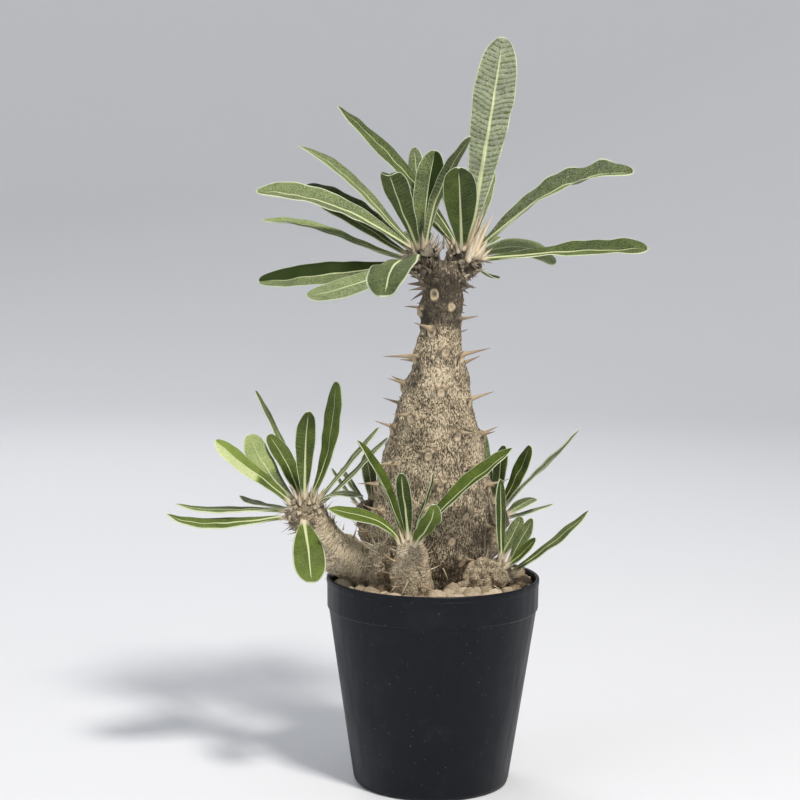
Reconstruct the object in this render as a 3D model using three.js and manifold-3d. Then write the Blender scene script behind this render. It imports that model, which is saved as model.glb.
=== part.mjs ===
// A potted Pachypodium cactipes: a swollen spiny trunk with two crown heads and five low offsets,
// each carrying its own leaves, in a black round nursery pot filled with granular soil.
// Millimetres, +Z up. The origin is on the pot's axis, on the ground. The front of the plant faces -Y.

import * as THREE from 'three';
import { mergeVertices } from 'three/addons/utils/BufferGeometryUtils.js';
import Module from 'manifold-3d';

const wasm = await Module();
wasm.setup();

// Pot
const POT_HEIGHT = 103;
const POT_RIM_RADIUS = 52.5;
const POT_BAND_HEIGHT = 15;
const POT_BAND_STEP = 0.8;
const POT_FOOT_RADIUS = 38.5;
const POT_WALL = 1.3;
const POT_FOOT_LIFT = 2;
const POT_HUB_RADIUS = 9;
const POT_CORNER = 4;
const DRAIN_COUNT = 6;
const DRAIN_RADIUS = 3.5;
const DRAIN_CIRCLE = 24;
const POT_SIDES = 40;

// Soil
const SOIL_TOP = 97.5;
const SOIL_RADIUS = 49.4;
const GRANULE_RADIUS = 4.2;
const GRANULE_SPREAD = 0.7;
const GRANULE_PLACES = 90;
const GRANULE_KEEP = 0.6;

// Clearances between pieces that touch in the real plant
const GAP = 0.3;
const RIM_GAP = 0.5;

// Points nearer to each other than this are one point
const WELD = 1e-4;

// Trunk: height, radius, and the place of its axis. It stands in the soil down to FOOT_BOTTOM.
const FOOT_BOTTOM = 72;
const TRUNK = [
  { z: FOOT_BOTTOM, radius: 16, x: -1, y: 7 },
  { z: 90, radius: 20, x: -1, y: 7.5 },
  { z: 99, radius: 24.5, x: -1, y: 8 },
  { z: 107, radius: 28, x: -1, y: 8 },
  { z: 116, radius: 30, x: -1, y: 8 },
  { z: 126, radius: 31, x: -1, y: 8 },
  { z: 141, radius: 29, x: 0, y: 7 },
  { z: 155, radius: 26.5, x: 0, y: 6 },
  { z: 165, radius: 24, x: 0, y: 5 },
  { z: 177, radius: 21, x: 0.5, y: 4 },
  { z: 190, radius: 17.5, x: 0.5, y: 3 },
  { z: 202, radius: 14.3, x: 1.5, y: 2 },
  { z: 214, radius: 11.6, x: 2, y: 1 },
  { z: 227, radius: 9.2, x: 2.5, y: 0.5 },
  { z: 243, radius: 9, x: 3, y: 0 },
  { z: 250, radius: 10.4, x: 3, y: 0 },
  { z: 257, radius: 9, x: 3, y: 0 },
];
const TRUNK_SIDES = 18;

// Limbs: the two crown heads, the five offsets and a bare knob. Each runs through its points, ends in
// a dome round its head, which carries leaves but on the knob, and starts inside the trunk.
const LIMBS = {
  crown_left: {
    sides: 10,
    path: [
      { at: [2, 0, 243], radius: 6.5 },
      { at: [-2, 0, 250.5], radius: 6.6 },
      { at: [-6.5, 0, 258], radius: 8 },
    ],
  },
  crown_right: {
    sides: 10,
    path: [
      { at: [5, 0, 243], radius: 6.5 },
      { at: [8, 0, 250.5], radius: 6.8 },
      { at: [13.5, 0, 258], radius: 8.5 },
    ],
  },
  left: {
    sides: 12,
    path: [
      { at: [-10, 5, 97], radius: 11.5 },
      { at: [-26, 1, 104.5], radius: 11.3 },
      { at: [-40, -1, 109.5], radius: 10.9 },
      { at: [-54, -3, 121], radius: 10 },
      { at: [-63, -4, 134], radius: 9.5 },
    ],
  },
  front: {
    sides: 10,
    path: [
      { at: [-8, -16, 84], radius: 10 },
      { at: [-10, -22, 97], radius: 10.5 },
      { at: [-11, -25, 108], radius: 10.3 },
      { at: [-11, -26, 118.5], radius: 8.5 },
    ],
  },
  right: {
    sides: 10,
    path: [
      { at: [12, -2, 94], radius: 10 },
      { at: [21, -8, 103], radius: 10.5 },
      { at: [30, -13, 105.5], radius: 8.8 },
    ],
  },
  knob: {
    sides: 8,
    path: [
      { at: [-14, -5, 100], radius: 9 },
      { at: [-22, -13, 110], radius: 8 },
      { at: [-25, -17, 116], radius: 6.5 },
    ],
  },
  rear_right: {
    sides: 10,
    path: [
      { at: [10, 14, 98], radius: 10 },
      { at: [24, 21, 113], radius: 10 },
      { at: [31, 24, 127], radius: 8 },
    ],
  },
  rear_left: {
    sides: 10,
    path: [
      { at: [-10, 14, 98], radius: 10 },
      { at: [-25, 23, 113], radius: 10 },
      { at: [-32, 27, 128], radius: 8 },
    ],
  },
};

// Leaf scars on the trunk: turn from the front towards +X in degrees, and height. Those that lie
// within SCAR_BACK_REACH of the front are repeated a half turn round and a little lower.
const SCARS = [
  [-27, 242], [29, 236], [-76, 233], [80, 228], [-28, 224], [12, 214], [54, 211], [-61, 210],
  [-90, 196], [6, 195], [60, 189], [-35, 182], [-69, 175], [27, 174], [88, 171], [-7, 165],
  [-49, 158], [42, 157], [5, 150], [67, 147], [-78, 146], [-30, 141], [29, 136], [-60, 134],
  [62, 127], [17, 124], [28, 113], [-84, 121],
];
const SCAR_BACK_REACH = 65;
const SCAR_BACK_DROP = 4;
const MOUND_RADIUS = 4;
const MOUND_TOP_RADIUS = 1.9;
const MOUND_HEIGHT = 1.6;
const MOUND_FULL_TRUNK = 20;
const MOUND_SIDES = 5;
const SPINE_LENGTH = 12;
const SPINE_RADIUS = 1.25;
const SPINE_SPLAY = 33;
const SPINE_RISE = 10;

// Bristles on the flank of each limb, shorter and thinner than the trunk's spines
const BRISTLE_COUNT = 6;
const BRISTLE_LENGTH = 8;
const BRISTLE_RADIUS = 0.7;

// Dry bud sheaths between the leaves of the right crown head: foot and tip
const SHEATHS = [
  { foot: [17, -3, 261], tip: [22.5, -4, 280], radius: 2.2 },
  { foot: [15.5, -6, 260], tip: [18, -10, 272], radius: 2.4 },
  { foot: [18, 2, 260], tip: [25, 3, 272], radius: 2.2 },
  { foot: [-2, -3, 261], tip: [1.5, -4, 270], radius: 1.8 },
];

// Leaves. tip: where the leaf ends. from: turn (0 towards +X, 90 towards +Y) and rise, in degrees, of
// its foot on the head's dome. bow: how far the leaf stands off the straight line from foot to tip, at
// a third and at two thirds of it, on the side nearer to upright. sway: the same, sideways. roll: the
// turn of the blade round that line, right-handed. fold: how far the halves rise to a V, as a share of
// the half width. wave: height of the waved margin. belly: place of the greatest width.
const LEAVES = {
  crown_left: [
    { tip: [-68, 8, 313], from: [160, 52], bow: [2, 9], width: 10, roll: -25, fold: 0.3 },
    { tip: [-86, -18, 290], from: [200, 40], bow: [8, 11], width: 13, roll: -42, fold: 0.5 },
    { tip: [-64, 14, 294], from: [137, 31], bow: [4, 6], width: 12, roll: -25, fold: 0.3 },
    { tip: [-56, -5, 284], from: [186, 16], bow: [0, 4], width: 10, roll: -35 },
    { tip: [-85, 6, 276], from: [158, 2], bow: [-2, 9], width: 10, roll: -18, fold: 0.3 },
    { tip: [-86, -3, 247], from: [190, -12], bow: [-1, -1], width: 14, roll: -45, fold: 0.35 },
    { tip: [-62, -18, 241], from: [218, -24], bow: [1, -3], width: 12, roll: -45 },
    { tip: [-25, -43, 242], from: [-112, 8], bow: [6, 16], width: 25, roll: 10, belly: 0.7 },
    { tip: [-23, -32, 301], from: [-125, 48], bow: [2, -3], width: 14, roll: 0, fold: 0.3, belly: 0.84 },
    { tip: [-1, -2, 311], from: [0, 86], bow: [2, 2], width: 14, roll: 108, fold: 0.3 },
    { tip: [15, -22, 317], from: [-78, 50], bow: [8, 7], width: 10, roll: 0 },
    { tip: [-11, 26, 313], from: [110, 55], bow: [2, 4], width: 9, roll: -20 },
    { tip: [-10, 68, 268], from: [95, 20], bow: [6, 8], width: 14, roll: 0 },
  ],
  crown_right: [
    { tip: [-49, 20, 333], from: [150, 56], bow: [8, 4], width: 13, roll: -20 },
    { tip: [-15, 28, 292], from: [130, 34], bow: [5, -3], width: 10, roll: 0 },
    { tip: [5, 22, 303], from: [96, 46], bow: [5, -5], width: 10, roll: 0 },
    { tip: [9, -42, 302], from: [-105, 38], bow: [2, 4], width: 16, roll: 0, fold: 0.25 },
    { tip: [30, -14, 364], from: [-40, 66], bow: [0, -1], width: 20, roll: -44, belly: 0.74 },
    { tip: [94, -8, 301], from: [-12, 32], bow: [9, 16], width: 16, roll: 32, fold: 0.45, wave: 1.1 },
    {
      tip: [102, -6, 264.5], from: [-8, 0], bow: [2, 1.5], width: 14, roll: 30, fold: 0.4, wave: 0.5,
      belly: 0.78,
    },
    { tip: [60, 26, 257], from: [32, 20], bow: [7, 9], width: 14, roll: 45, belly: 0.74 },
    { tip: [32, 18, 250], from: [35, -22], bow: [0, -4], width: 7, roll: 20 },
    { tip: [32, 46, 269], from: [68, 15], bow: [3, 2], width: 10, roll: 0 },
    { tip: [26, 58, 306], from: [60, 34], bow: [5, 6], width: 15, roll: 0 },
  ],
  left: [
    { tip: [-131, -10, 134], from: [-165, -15], bow: [-1, -9], width: 11, roll: -20 },
    { tip: [-128, -2, 138], from: [180, 4], bow: [2, -5], width: 9, roll: -10 },
    { tip: [-98, 24, 138], from: [145, 0], bow: [1, -3], width: 8, roll: 0 },
    { tip: [-106, -14, 171], from: [-155, 28], bow: [3, -2], width: 12, roll: -40, belly: 0.74 },
    { tip: [-91, 2, 172], from: [170, 48], bow: [-3, -4], width: 14, roll: -35, belly: 0.74 },
    { tip: [-82, 8, 171], from: [125, 44], bow: [4, 3], width: 11, roll: -25 },
    { tip: [-90, 30, 191], from: [102, 18], bow: [6, 2], width: 9, roll: 30 },
    { tip: [-61, -20, 186], from: [-95, 55], bow: [3, 8], width: 10.5, roll: 15 },
    { tip: [-48, -4, 199], from: [20, 68], bow: [-5, -3], width: 14, roll: 40 },
    { tip: [-34, -18, 145], from: [-35, 28], bow: [8, 3], width: 8, roll: 10 },
    { tip: [-58, -42, 107], from: [-96, -15], bow: [5, 4], width: 16, roll: 0 },
    { tip: [-27, 10, 175], from: [30, 40], bow: [-1, 1], width: 6, roll: 5 },
    { tip: [-23, 18, 169], from: [50, 15], bow: [-3, 0], width: 6, roll: 0 },
  ],
  front: [
    { tip: [-37, -30, 174], from: [175, 55], bow: [4, 2], width: 10, roll: -30, fold: 0.5 },
    { tip: [-16, -36, 159], from: [-120, 62], bow: [3, -1], width: 8, roll: 0, belly: 0.7 },
    { tip: [-1, -32, 159], from: [-40, 68], bow: [3, -2], width: 9, roll: 20 },
    { tip: [36, -40, 172], from: [-12, 45], bow: [8, 1], sway: [5, 2], width: 11, roll: 40, fold: 0.5 },
    { tip: [-1, -54, 147], from: [-75, 32], bow: [4, -8], width: 11, roll: 0, wave: 0.8 },
    { tip: [-51, -38, 142], from: [-160, 32], bow: [12, 3], width: 9, roll: -40 },
  ],
  right: [
    { tip: [32, -12, 153], from: [0, 66], bow: [1, 0], width: 6, roll: 0 },
    { tip: [43, -2, 133], from: [70, 50], bow: [1, -2], width: 9, roll: 20 },
    { tip: [48, -14, 134], from: [12, 30], bow: [0, 0], width: 9, roll: 40 },
    { tip: [49, -26, 126], from: [-45, 35], bow: [0, 0], width: 9, roll: 40 },
    { tip: [75, -18, 139], from: [-20, 5], bow: [-1, -2], width: 9, roll: 20 },
  ],
  rear_right: [
    { tip: [36, 30, 164], from: [70, 75], bow: [0, 1], width: 9, roll: 0 },
    { tip: [49, 22, 165], from: [-35, 60], bow: [-1, -1], width: 12, roll: 30 },
    { tip: [74, 30, 173], from: [12, 45], bow: [3, -2], width: 8, roll: -30 },
    { tip: [53, 38, 135], from: [30, 5], bow: [1, 3], width: 10, roll: 5 },
    { tip: [63, 44, 132], from: [55, -12], bow: [0, -1], width: 6, roll: 0 },
    { tip: [25, 44, 170], from: [125, 55], bow: [3, -4], width: 8, roll: 0 },
  ],
  rear_left: [
    { tip: [-52, 40, 150], from: [150, 28], bow: [0, -1], width: 7, roll: 20 },
    { tip: [-47, 48, 149], from: [110, 28], bow: [1, -1], width: 7, roll: 20 },
    { tip: [-34, 34, 159], from: [60, 60], bow: [1, 0], width: 9, roll: 0 },
  ],
};
const PETIOLE_WIDTH = 2.6;
const PETIOLE_THICKNESS = 2.2;
const PETIOLE_DEPTH = 2.4;
const RIB_THICKNESS = 1.2;
const MARGIN_THICKNESS = 0.7;
const LEAF_STATIONS = [0, 0.1, 0.24, 0.42, 0.6, 0.76, 0.88, 0.96, 1];
const SHORT_LEAF_STATIONS = [0, 0.16, 0.4, 0.66, 0.88, 1];
const SHORT_LEAF = 45;
const SOCKET_REACH = 6.5;
const BELLY = 0.64;
const TIP_END = 0.99;
const WAVES_PER_LEAF = 3;

// Colours and finishes
const plastic = new THREE.MeshStandardMaterial({ color: 0x17191d, roughness: 0.45, metalness: 0 });
const earth = new THREE.MeshStandardMaterial({ color: 0x8a6f52, roughness: 0.95, metalness: 0 });
const bark = new THREE.MeshStandardMaterial({ color: 0x857460, roughness: 0.9, metalness: 0 });
const leafGreen = new THREE.MeshStandardMaterial({
  color: 0x4f7038, roughness: 0.6, metalness: 0, side: THREE.DoubleSide,
});

const UP = new THREE.Vector3(0, 0, 1);
const radians = THREE.MathUtils.degToRad;

// A seeded random number from 0 to 1, the same in every run
function seeded(seed) {
  let state = seed;
  return () => {
    state = (state * 16807) % 2147483647;
    return state / 2147483647;
  };
}

// A direction from its turn round +Z and its rise above the horizontal
function direction(turn, rise) {
  const level = Math.cos(radians(rise));
  return new THREE.Vector3(
    level * Math.cos(radians(turn)), level * Math.sin(radians(turn)), Math.sin(radians(rise)));
}

// A closed geometry as a solid for joining and cutting
function solid(geometry) {
  const bare = geometry.clone();
  bare.deleteAttribute('normal');
  bare.deleteAttribute('uv');
  const merged = mergeVertices(bare, WELD);
  const vertProperties = new Float32Array(merged.attributes.position.array);
  const triVerts = new Uint32Array(merged.index.array);
  return new wasm.Manifold(new wasm.Mesh({ numProp: 3, vertProperties, triVerts }));
}

// The largest body of a solid. Loose scraps left by a cut are dropped.
function largestBody(body) {
  return body.decompose().sort((a, b) => b.volume() - a.volume())[0];
}

// A solid's surface as a geometry
function surfaceOf(body) {
  const { vertProperties, triVerts } = body.getMesh();
  const geometry = new THREE.BufferGeometry();
  geometry.setAttribute('position', new THREE.BufferAttribute(vertProperties, 3));
  geometry.setIndex(new THREE.BufferAttribute(triVerts, 1));
  return geometry;
}

// The geometry of a piece. Its near points are welded before scraps are looked for, because a
// sliver between two cuts can close up in that.
function geometryOf(body) {
  const geometry = surfaceOf(largestBody(solid(surfaceOf(body))));
  geometry.computeVertexNormals();
  return geometry;
}

// A closed skin over rings of equally many points, with flat ends. From the ring point given by
// mirrorFrom on, the four-sided fields are halved the other way, so that the two faces of a thin
// blade are split alike.
function skin(rings, mirrorFrom = Infinity) {
  const count = rings[0].length;
  const index = [];
  for (let row = 0; row + 1 < rings.length; row += 1) {
    for (let k = 0; k < count; k += 1) {
      const a = row * count + k;
      const b = row * count + ((k + 1) % count);
      if (k < mirrorFrom) {
        index.push(a, b, b + count, a, b + count, a + count);
      } else {
        index.push(a, b, a + count, b, b + count, a + count);
      }
    }
  }
  const last = (rings.length - 1) * count;
  const lower = Math.floor(count / 2);
  for (let k = 0; k + 1 < lower; k += 1) {
    const opposite = count - 1 - k;
    index.push(k, opposite, k + 1, k + 1, opposite, opposite - 1);
    index.push(last + k, last + k + 1, last + opposite);
    index.push(last + k + 1, last + opposite - 1, last + opposite);
  }
  const geometry = new THREE.BufferGeometry().setFromPoints(rings.flat());
  geometry.setIndex(index);
  return geometry;
}

// A ring of points round a centre, square to an axis
function ring(centre, axis, radius, sides) {
  const across = new THREE.Vector3(0, 1, 0).cross(axis).normalize();
  const along = axis.clone().cross(across);
  return Array.from({ length: sides }, (_, k) => {
    const angle = (2 * Math.PI * k) / sides;
    return centre.clone()
      .addScaledVector(across, radius * Math.cos(angle))
      .addScaledVector(along, radius * Math.sin(angle));
  });
}

// The outer radius of the pot's wall below the band, at a height
function wallRadius(z) {
  const top = POT_RIM_RADIUS - POT_BAND_STEP - 0.4;
  return POT_FOOT_RADIUS + ((top - POT_FOOT_RADIUS) * z) / (POT_HEIGHT - POT_BAND_HEIGHT);
}

function potSolid() {
  const bandFoot = POT_HEIGHT - POT_BAND_HEIGHT;
  const rim = POT_RIM_RADIUS;
  const floor = POT_FOOT_LIFT + POT_WALL;
  const profile = [
    [0, 0],
    [POT_HUB_RADIUS, 0],
    [POT_HUB_RADIUS + 1, POT_FOOT_LIFT],
    [POT_FOOT_RADIUS - POT_CORNER - 3, POT_FOOT_LIFT],
    [POT_FOOT_RADIUS - POT_CORNER - 2, 0],
    [POT_FOOT_RADIUS - POT_CORNER * 0.45, 0],
    [wallRadius(POT_CORNER * 0.5) - 0.35, POT_CORNER * 0.3],
    [wallRadius(POT_CORNER), POT_CORNER],
    [wallRadius(bandFoot), bandFoot - 0.6],
    [rim - 0.4, bandFoot],
    [rim, POT_HEIGHT - 2],
    [rim - 0.3, POT_HEIGHT - 0.4],
    [rim - 1, POT_HEIGHT],
    [rim - 1.8, POT_HEIGHT - 0.5],
    [rim - 0.4 - POT_WALL, bandFoot + 1],
    [wallRadius(bandFoot) - POT_WALL, bandFoot - 1],
    [wallRadius(floor) - POT_WALL, floor],
    [0, floor],
  ].map(([radius, z]) => new THREE.Vector2(radius, z));
  const shell = new THREE.LatheGeometry(profile, POT_SIDES).rotateX(Math.PI / 2);
  let pot = solid(shell);
  for (let k = 0; k < DRAIN_COUNT; k += 1) {
    const turn = (2 * Math.PI * (k + 0.5)) / DRAIN_COUNT;
    const drain = new THREE.CylinderGeometry(DRAIN_RADIUS, DRAIN_RADIUS, 4 * floor, 12)
      .rotateX(Math.PI / 2)
      .translate(DRAIN_CIRCLE * Math.cos(turn), DRAIN_CIRCLE * Math.sin(turn), 0);
    pot = pot.subtract(solid(drain));
  }
  return pot;
}

// The space that the rim needs round it, which a leaning branch leaves free
function rimSpace() {
  const rim = POT_RIM_RADIUS;
  const profile = [
    [rim - POT_WALL - 1 - RIM_GAP, POT_HEIGHT - POT_BAND_HEIGHT],
    [rim + RIM_GAP, POT_HEIGHT - POT_BAND_HEIGHT],
    [rim + RIM_GAP, POT_HEIGHT],
    [rim - 0.9, POT_HEIGHT + RIM_GAP],
    [rim - POT_WALL - 1 - RIM_GAP, POT_HEIGHT - 0.3],
    [rim - POT_WALL - 1 - RIM_GAP, POT_HEIGHT - POT_BAND_HEIGHT],
  ].map(([radius, z]) => new THREE.Vector2(radius, z));
  return solid(new THREE.LatheGeometry(profile, POT_SIDES).rotateX(Math.PI / 2));
}

// The trunk's radius and axis at a height, between its rows
function trunkAt(z) {
  const upper = TRUNK.findIndex((row) => row.z >= z);
  const k = upper < 0 ? TRUNK.length - 1 : Math.max(1, upper);
  const [low, high] = [TRUNK[k - 1], TRUNK[k]];
  const share = THREE.MathUtils.clamp((z - low.z) / (high.z - low.z), 0, 1);
  const mix = (key) => THREE.MathUtils.lerp(low[key], high[key], share);
  return { centre: new THREE.Vector3(mix('x'), mix('y'), z), radius: mix('radius') };
}

function trunkSolid(extra) {
  const rings = TRUNK.map(({ z, radius, x, y }) =>
    ring(new THREE.Vector3(x, y, z - (z === FOOT_BOTTOM ? extra : 0)), UP, radius + extra, TRUNK_SIDES));
  return solid(skin(rings));
}

// A limb through its points, closed by a dome of its last radius
function limbSolid({ path, sides }, extra) {
  const points = path.map(({ at }) => new THREE.Vector3(...at));
  const curve = new THREE.CatmullRomCurve3(points);
  const rings = path.map(({ radius }, k) =>
    ring(points[k], curve.getTangent(k / (path.length - 1)), radius + extra, sides));
  const start = curve.getTangent(0);
  rings[0].forEach((corner) => corner.addScaledVector(start, -extra));
  const head = points[points.length - 1];
  const axis = curve.getTangent(1);
  const radius = path[path.length - 1].radius + extra;
  for (const lift of [28, 54, 76]) {
    const centre = head.clone().addScaledVector(axis, radius * Math.sin(radians(lift)));
    rings.push(ring(centre, axis, radius * Math.cos(radians(lift)), sides));
  }
  return solid(skin(rings));
}

// A slender cone from a foot to a tip, its foot sunk in what it grows from
function spike(foot, tip, radius, sides) {
  const run = tip.clone().sub(foot);
  const cone = new THREE.ConeGeometry(radius, run.length(), sides)
    .translate(0, run.length() / 2, 0)
    .applyQuaternion(new THREE.Quaternion().setFromUnitVectors(new THREE.Vector3(0, 1, 0), run.normalize()))
    .translate(foot.x, foot.y, foot.z);
  return solid(cone);
}

// One leaf scar on its mound, with the pair of spines that spread above it
function scarSolids(turn, z) {
  const outward = direction(turn - 90, 0);
  const sideways = new THREE.Vector3().crossVectors(UP, outward);
  const { centre, radius } = trunkAt(z);
  const surface = centre.clone().addScaledVector(outward, radius - 0.5);
  const height = MOUND_HEIGHT * Math.min(1, radius / MOUND_FULL_TRUNK) + 1.2;
  const mound = new THREE.CylinderGeometry(MOUND_TOP_RADIUS, MOUND_RADIUS, height, MOUND_SIDES)
    .applyQuaternion(new THREE.Quaternion().setFromUnitVectors(new THREE.Vector3(0, 1, 0), outward))
    .translate(surface.x, surface.y, surface.z);
  const solids = [solid(mound)];
  for (const side of [-1, 1]) {
    const way = outward.clone().multiplyScalar(Math.cos(radians(SPINE_SPLAY)))
      .addScaledVector(sideways, side * Math.sin(radians(SPINE_SPLAY)))
      .addScaledVector(UP, Math.sin(radians(SPINE_RISE)));
    const foot = surface.clone().addScaledVector(sideways, side * 1.4).addScaledVector(UP, 1.8);
    foot.addScaledVector(outward, -1);
    solids.push(spike(foot, foot.clone().addScaledVector(way, SPINE_LENGTH), SPINE_RADIUS, 3));
  }
  return solids;
}

// Thin bristles round a limb's flank, in golden turns below its head, where they clear the soil
function bristleSolids({ path }, seed) {
  const random = seeded(seed);
  const points = path.map(({ at }) => new THREE.Vector3(...at));
  const curve = new THREE.CatmullRomCurve3(points);
  const bristles = [];
  for (let k = 0; k < BRISTLE_COUNT; k += 1) {
    const share = 0.45 + (0.5 * k) / BRISTLE_COUNT;
    const axis = curve.getTangent(share);
    const centre = curve.getPoint(share);
    const reach = share * (path.length - 1);
    const low = path[Math.floor(reach)];
    const high = path[Math.min(path.length - 1, Math.floor(reach) + 1)];
    const radius = THREE.MathUtils.lerp(low.radius, high.radius, reach % 1);
    const [out] = ring(new THREE.Vector3(), axis, 1, 1);
    out.applyAxisAngle(axis, radians(137.5) * k).addScaledVector(axis, 0.35).normalize();
    const foot = centre.clone().addScaledVector(out, radius - 1.5);
    const tip = foot.clone().addScaledVector(out, BRISTLE_LENGTH * (0.75 + 0.5 * random()));
    if (Math.min(foot.z, tip.z) > SOIL_TOP + GRANULE_RADIUS) {
      bristles.push(spike(foot, tip, BRISTLE_RADIUS, 3));
    }
  }
  return bristles;
}

// The course of a leaf: its curve from foot to tip, and the face that its blade shows at rest
function leafCourse(leaf, head) {
  const { tip, from, bow, sway = [0, 0], roll } = leaf;
  const foot = new THREE.Vector3(...head.at)
    .addScaledVector(direction(...from), head.radius - PETIOLE_DEPTH);
  const end = new THREE.Vector3(...tip);
  const chord = end.clone().sub(foot);
  const line = chord.clone().normalize();
  const rise = UP.clone().addScaledVector(line, -UP.dot(line)).normalize();
  const side = new THREE.Vector3().crossVectors(line, rise);
  const handle = (share, k) => foot.clone().addScaledVector(chord, share)
    .addScaledVector(rise, bow[k]).addScaledVector(side, sway[k]);
  const curve = new THREE.CubicBezierCurve3(foot, handle(1 / 3, 0), handle(2 / 3, 1), end);
  return { curve, face: rise.applyAxisAngle(line, radians(roll)), length: chord.length() };
}

// The leaf's size at a place along it: half its width, half its thickness at the rib and the margin,
// and how high its two margins stand
function leafSize(leaf, along) {
  const { width, fold = 0.12, wave = 0, belly = BELLY } = leaf;
  const swell = Math.sin((Math.PI / 2) * Math.min(1, along / belly)) ** 1.4;
  const past = Math.max(0, (along * TIP_END - belly) / (1 - belly));
  const half = 0.5 * (PETIOLE_WIDTH + (width - PETIOLE_WIDTH) * swell) * Math.sqrt(1 - past ** 2.6);
  const stalk = Math.max(0, 1 - along / 0.24);
  const ripple = wave * Math.min(1, along * 2) * Math.sin(2 * Math.PI * WAVES_PER_LEAF * along);
  return {
    half,
    rib: 0.5 * THREE.MathUtils.lerp(RIB_THICKNESS, PETIOLE_THICKNESS, stalk),
    margin: 0.5 * THREE.MathUtils.lerp(MARGIN_THICKNESS, PETIOLE_THICKNESS * 0.7, stalk),
    right: fold * half - ripple,
    left: fold * half + ripple,
  };
}

// A function that gives points of the leaf's section at a place along it, from how far they lie
// across the blade and above it
function leafSection({ curve, face }, along) {
  const tangent = curve.getTangent(along);
  const across = new THREE.Vector3().crossVectors(face, tangent).normalize();
  const normal = new THREE.Vector3().crossVectors(tangent, across);
  const centre = curve.getPoint(along);
  return (x, z) => centre.clone().addScaledVector(across, x).addScaledVector(normal, z);
}

// A leaf: rings of six points, two at each margin and two at the rib
function leafGeometry(leaf, head) {
  const course = leafCourse(leaf, head);
  const stations = course.length < SHORT_LEAF ? SHORT_LEAF_STATIONS : LEAF_STATIONS;
  return skin(stations.map((along) => {
    const { half, rib, margin, right, left } = leafSize(leaf, along);
    const point = leafSection(course, along);
    return [
      point(half, right + margin), point(0, rib), point(-half, left + margin),
      point(-half, left - margin), point(0, -rib), point(half, right - margin),
    ];
  }), 3);
}

// The socket that a leaf's foot stands in: rings of four points, GAP clear of the foot
function socketGeometry(leaf, head) {
  const course = leafCourse(leaf, head);
  const tangent = course.curve.getTangent(0);
  return skin([0, SOCKET_REACH / course.length].map((along, row) => {
    const { half, rib, margin, right, left } = leafSize(leaf, along);
    const point = leafSection(course, along);
    const wide = half + GAP;
    const top = Math.max(rib, right + margin, left + margin) + GAP;
    const bottom = Math.min(-rib, right - margin, left - margin) - GAP;
    return [point(wide, top), point(-wide, top), point(-wide, bottom), point(wide, bottom)]
      .map((corner) => corner.addScaledVector(tangent, row === 0 ? -GAP : 0));
  }));
}

// The stem: trunk, limbs, scars, spines, bristles and sheaths grown together, with a socket for each
// leaf's foot and free of the rim
function stemSolid(leaves) {
  const parts = [trunkSolid(0)];
  for (const limb of Object.values(LIMBS)) {
    parts.push(limbSolid(limb, 0));
  }
  for (const [turn, z] of SCARS) {
    parts.push(...scarSolids(turn, z));
    if (Math.abs(turn) < SCAR_BACK_REACH) {
      parts.push(...scarSolids(turn + 180, z - SCAR_BACK_DROP));
    }
  }
  Object.values(LIMBS).forEach((limb, k) => parts.push(...bristleSolids(limb, 7 + k)));
  for (const { foot, tip, radius } of SHEATHS) {
    parts.push(spike(new THREE.Vector3(...foot), new THREE.Vector3(...tip), radius, 5));
  }
  const grown = wasm.Manifold.union(parts);
  const sockets = leaves.map(({ leaf, head }) => solid(socketGeometry(leaf, head)));
  return grown.subtract(wasm.Manifold.union(sockets)).subtract(rimSpace());
}

// The soil: a plug that fits the pot, its top set with granules, with plain holes for the stem
function soilSolid() {
  const floor = POT_FOOT_LIFT + POT_WALL + GAP;
  const profile = [
    [0, floor],
    [wallRadius(floor) - POT_WALL - GAP, floor],
    [SOIL_RADIUS, POT_HEIGHT - POT_BAND_HEIGHT - 1.5],
    [SOIL_RADIUS, SOIL_TOP],
    [0, SOIL_TOP],
  ].map(([radius, z]) => new THREE.Vector2(radius, z));
  const plug = solid(new THREE.LatheGeometry(profile, POT_SIDES).rotateX(Math.PI / 2));
  const holes = wasm.Manifold.union(
    [trunkSolid(GAP), ...Object.values(LIMBS).map((limb) => limbSolid(limb, GAP))]);
  const random = seeded(11);
  const granules = [];
  for (let k = 0; k < GRANULE_PLACES; k += 1) {
    const radius = GRANULE_RADIUS + GRANULE_SPREAD * (2 * random() - 1);
    const reach = (SOIL_RADIUS - radius) * Math.sqrt((k + 0.5) / GRANULE_PLACES);
    const turn = radians(137.5) * k;
    const granule = solid(new THREE.IcosahedronGeometry(radius, 0)
      .rotateX(6 * random()).rotateZ(6 * random())
      .scale(1, 1, 0.75)
      .translate(reach * Math.cos(turn), reach * Math.sin(turn), SOIL_TOP + 1.2 * random() - 0.6));
    if (granule.subtract(holes).volume() > GRANULE_KEEP * granule.volume()) {
      granules.push(granule);
    }
  }
  return wasm.Manifold.union([plug, ...granules]).subtract(holes);
}

function mesh(name, geometry, material) {
  const piece = new THREE.Mesh(geometry, material);
  piece.name = name;
  return piece;
}

const leaves = Object.entries(LEAVES).flatMap(([limb, rows]) => rows.map((leaf, k) => ({
  name: `${limb}_leaf_${String(k + 1).padStart(2, '0')}`,
  leaf,
  head: LIMBS[limb].path.at(-1),
})));

const plant = new THREE.Group();
plant.add(mesh('pot', geometryOf(potSolid()), plastic));
plant.add(mesh('soil', geometryOf(soilSolid()), earth));
plant.add(mesh('stem', geometryOf(stemSolid(leaves)), bark));
for (const { name, leaf, head } of leaves) {
  plant.add(mesh(name, geometryOf(solid(leafGeometry(leaf, head))), leafGreen));
}

export default plant;
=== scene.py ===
"""The looks of a potted Pachypodium cactipes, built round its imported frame.

The tables are in millimetres and become metres where a mesh is made. +Z is up, and the plant's front
faces -Y. A turn is counted in degrees.
"""

import math

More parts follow.
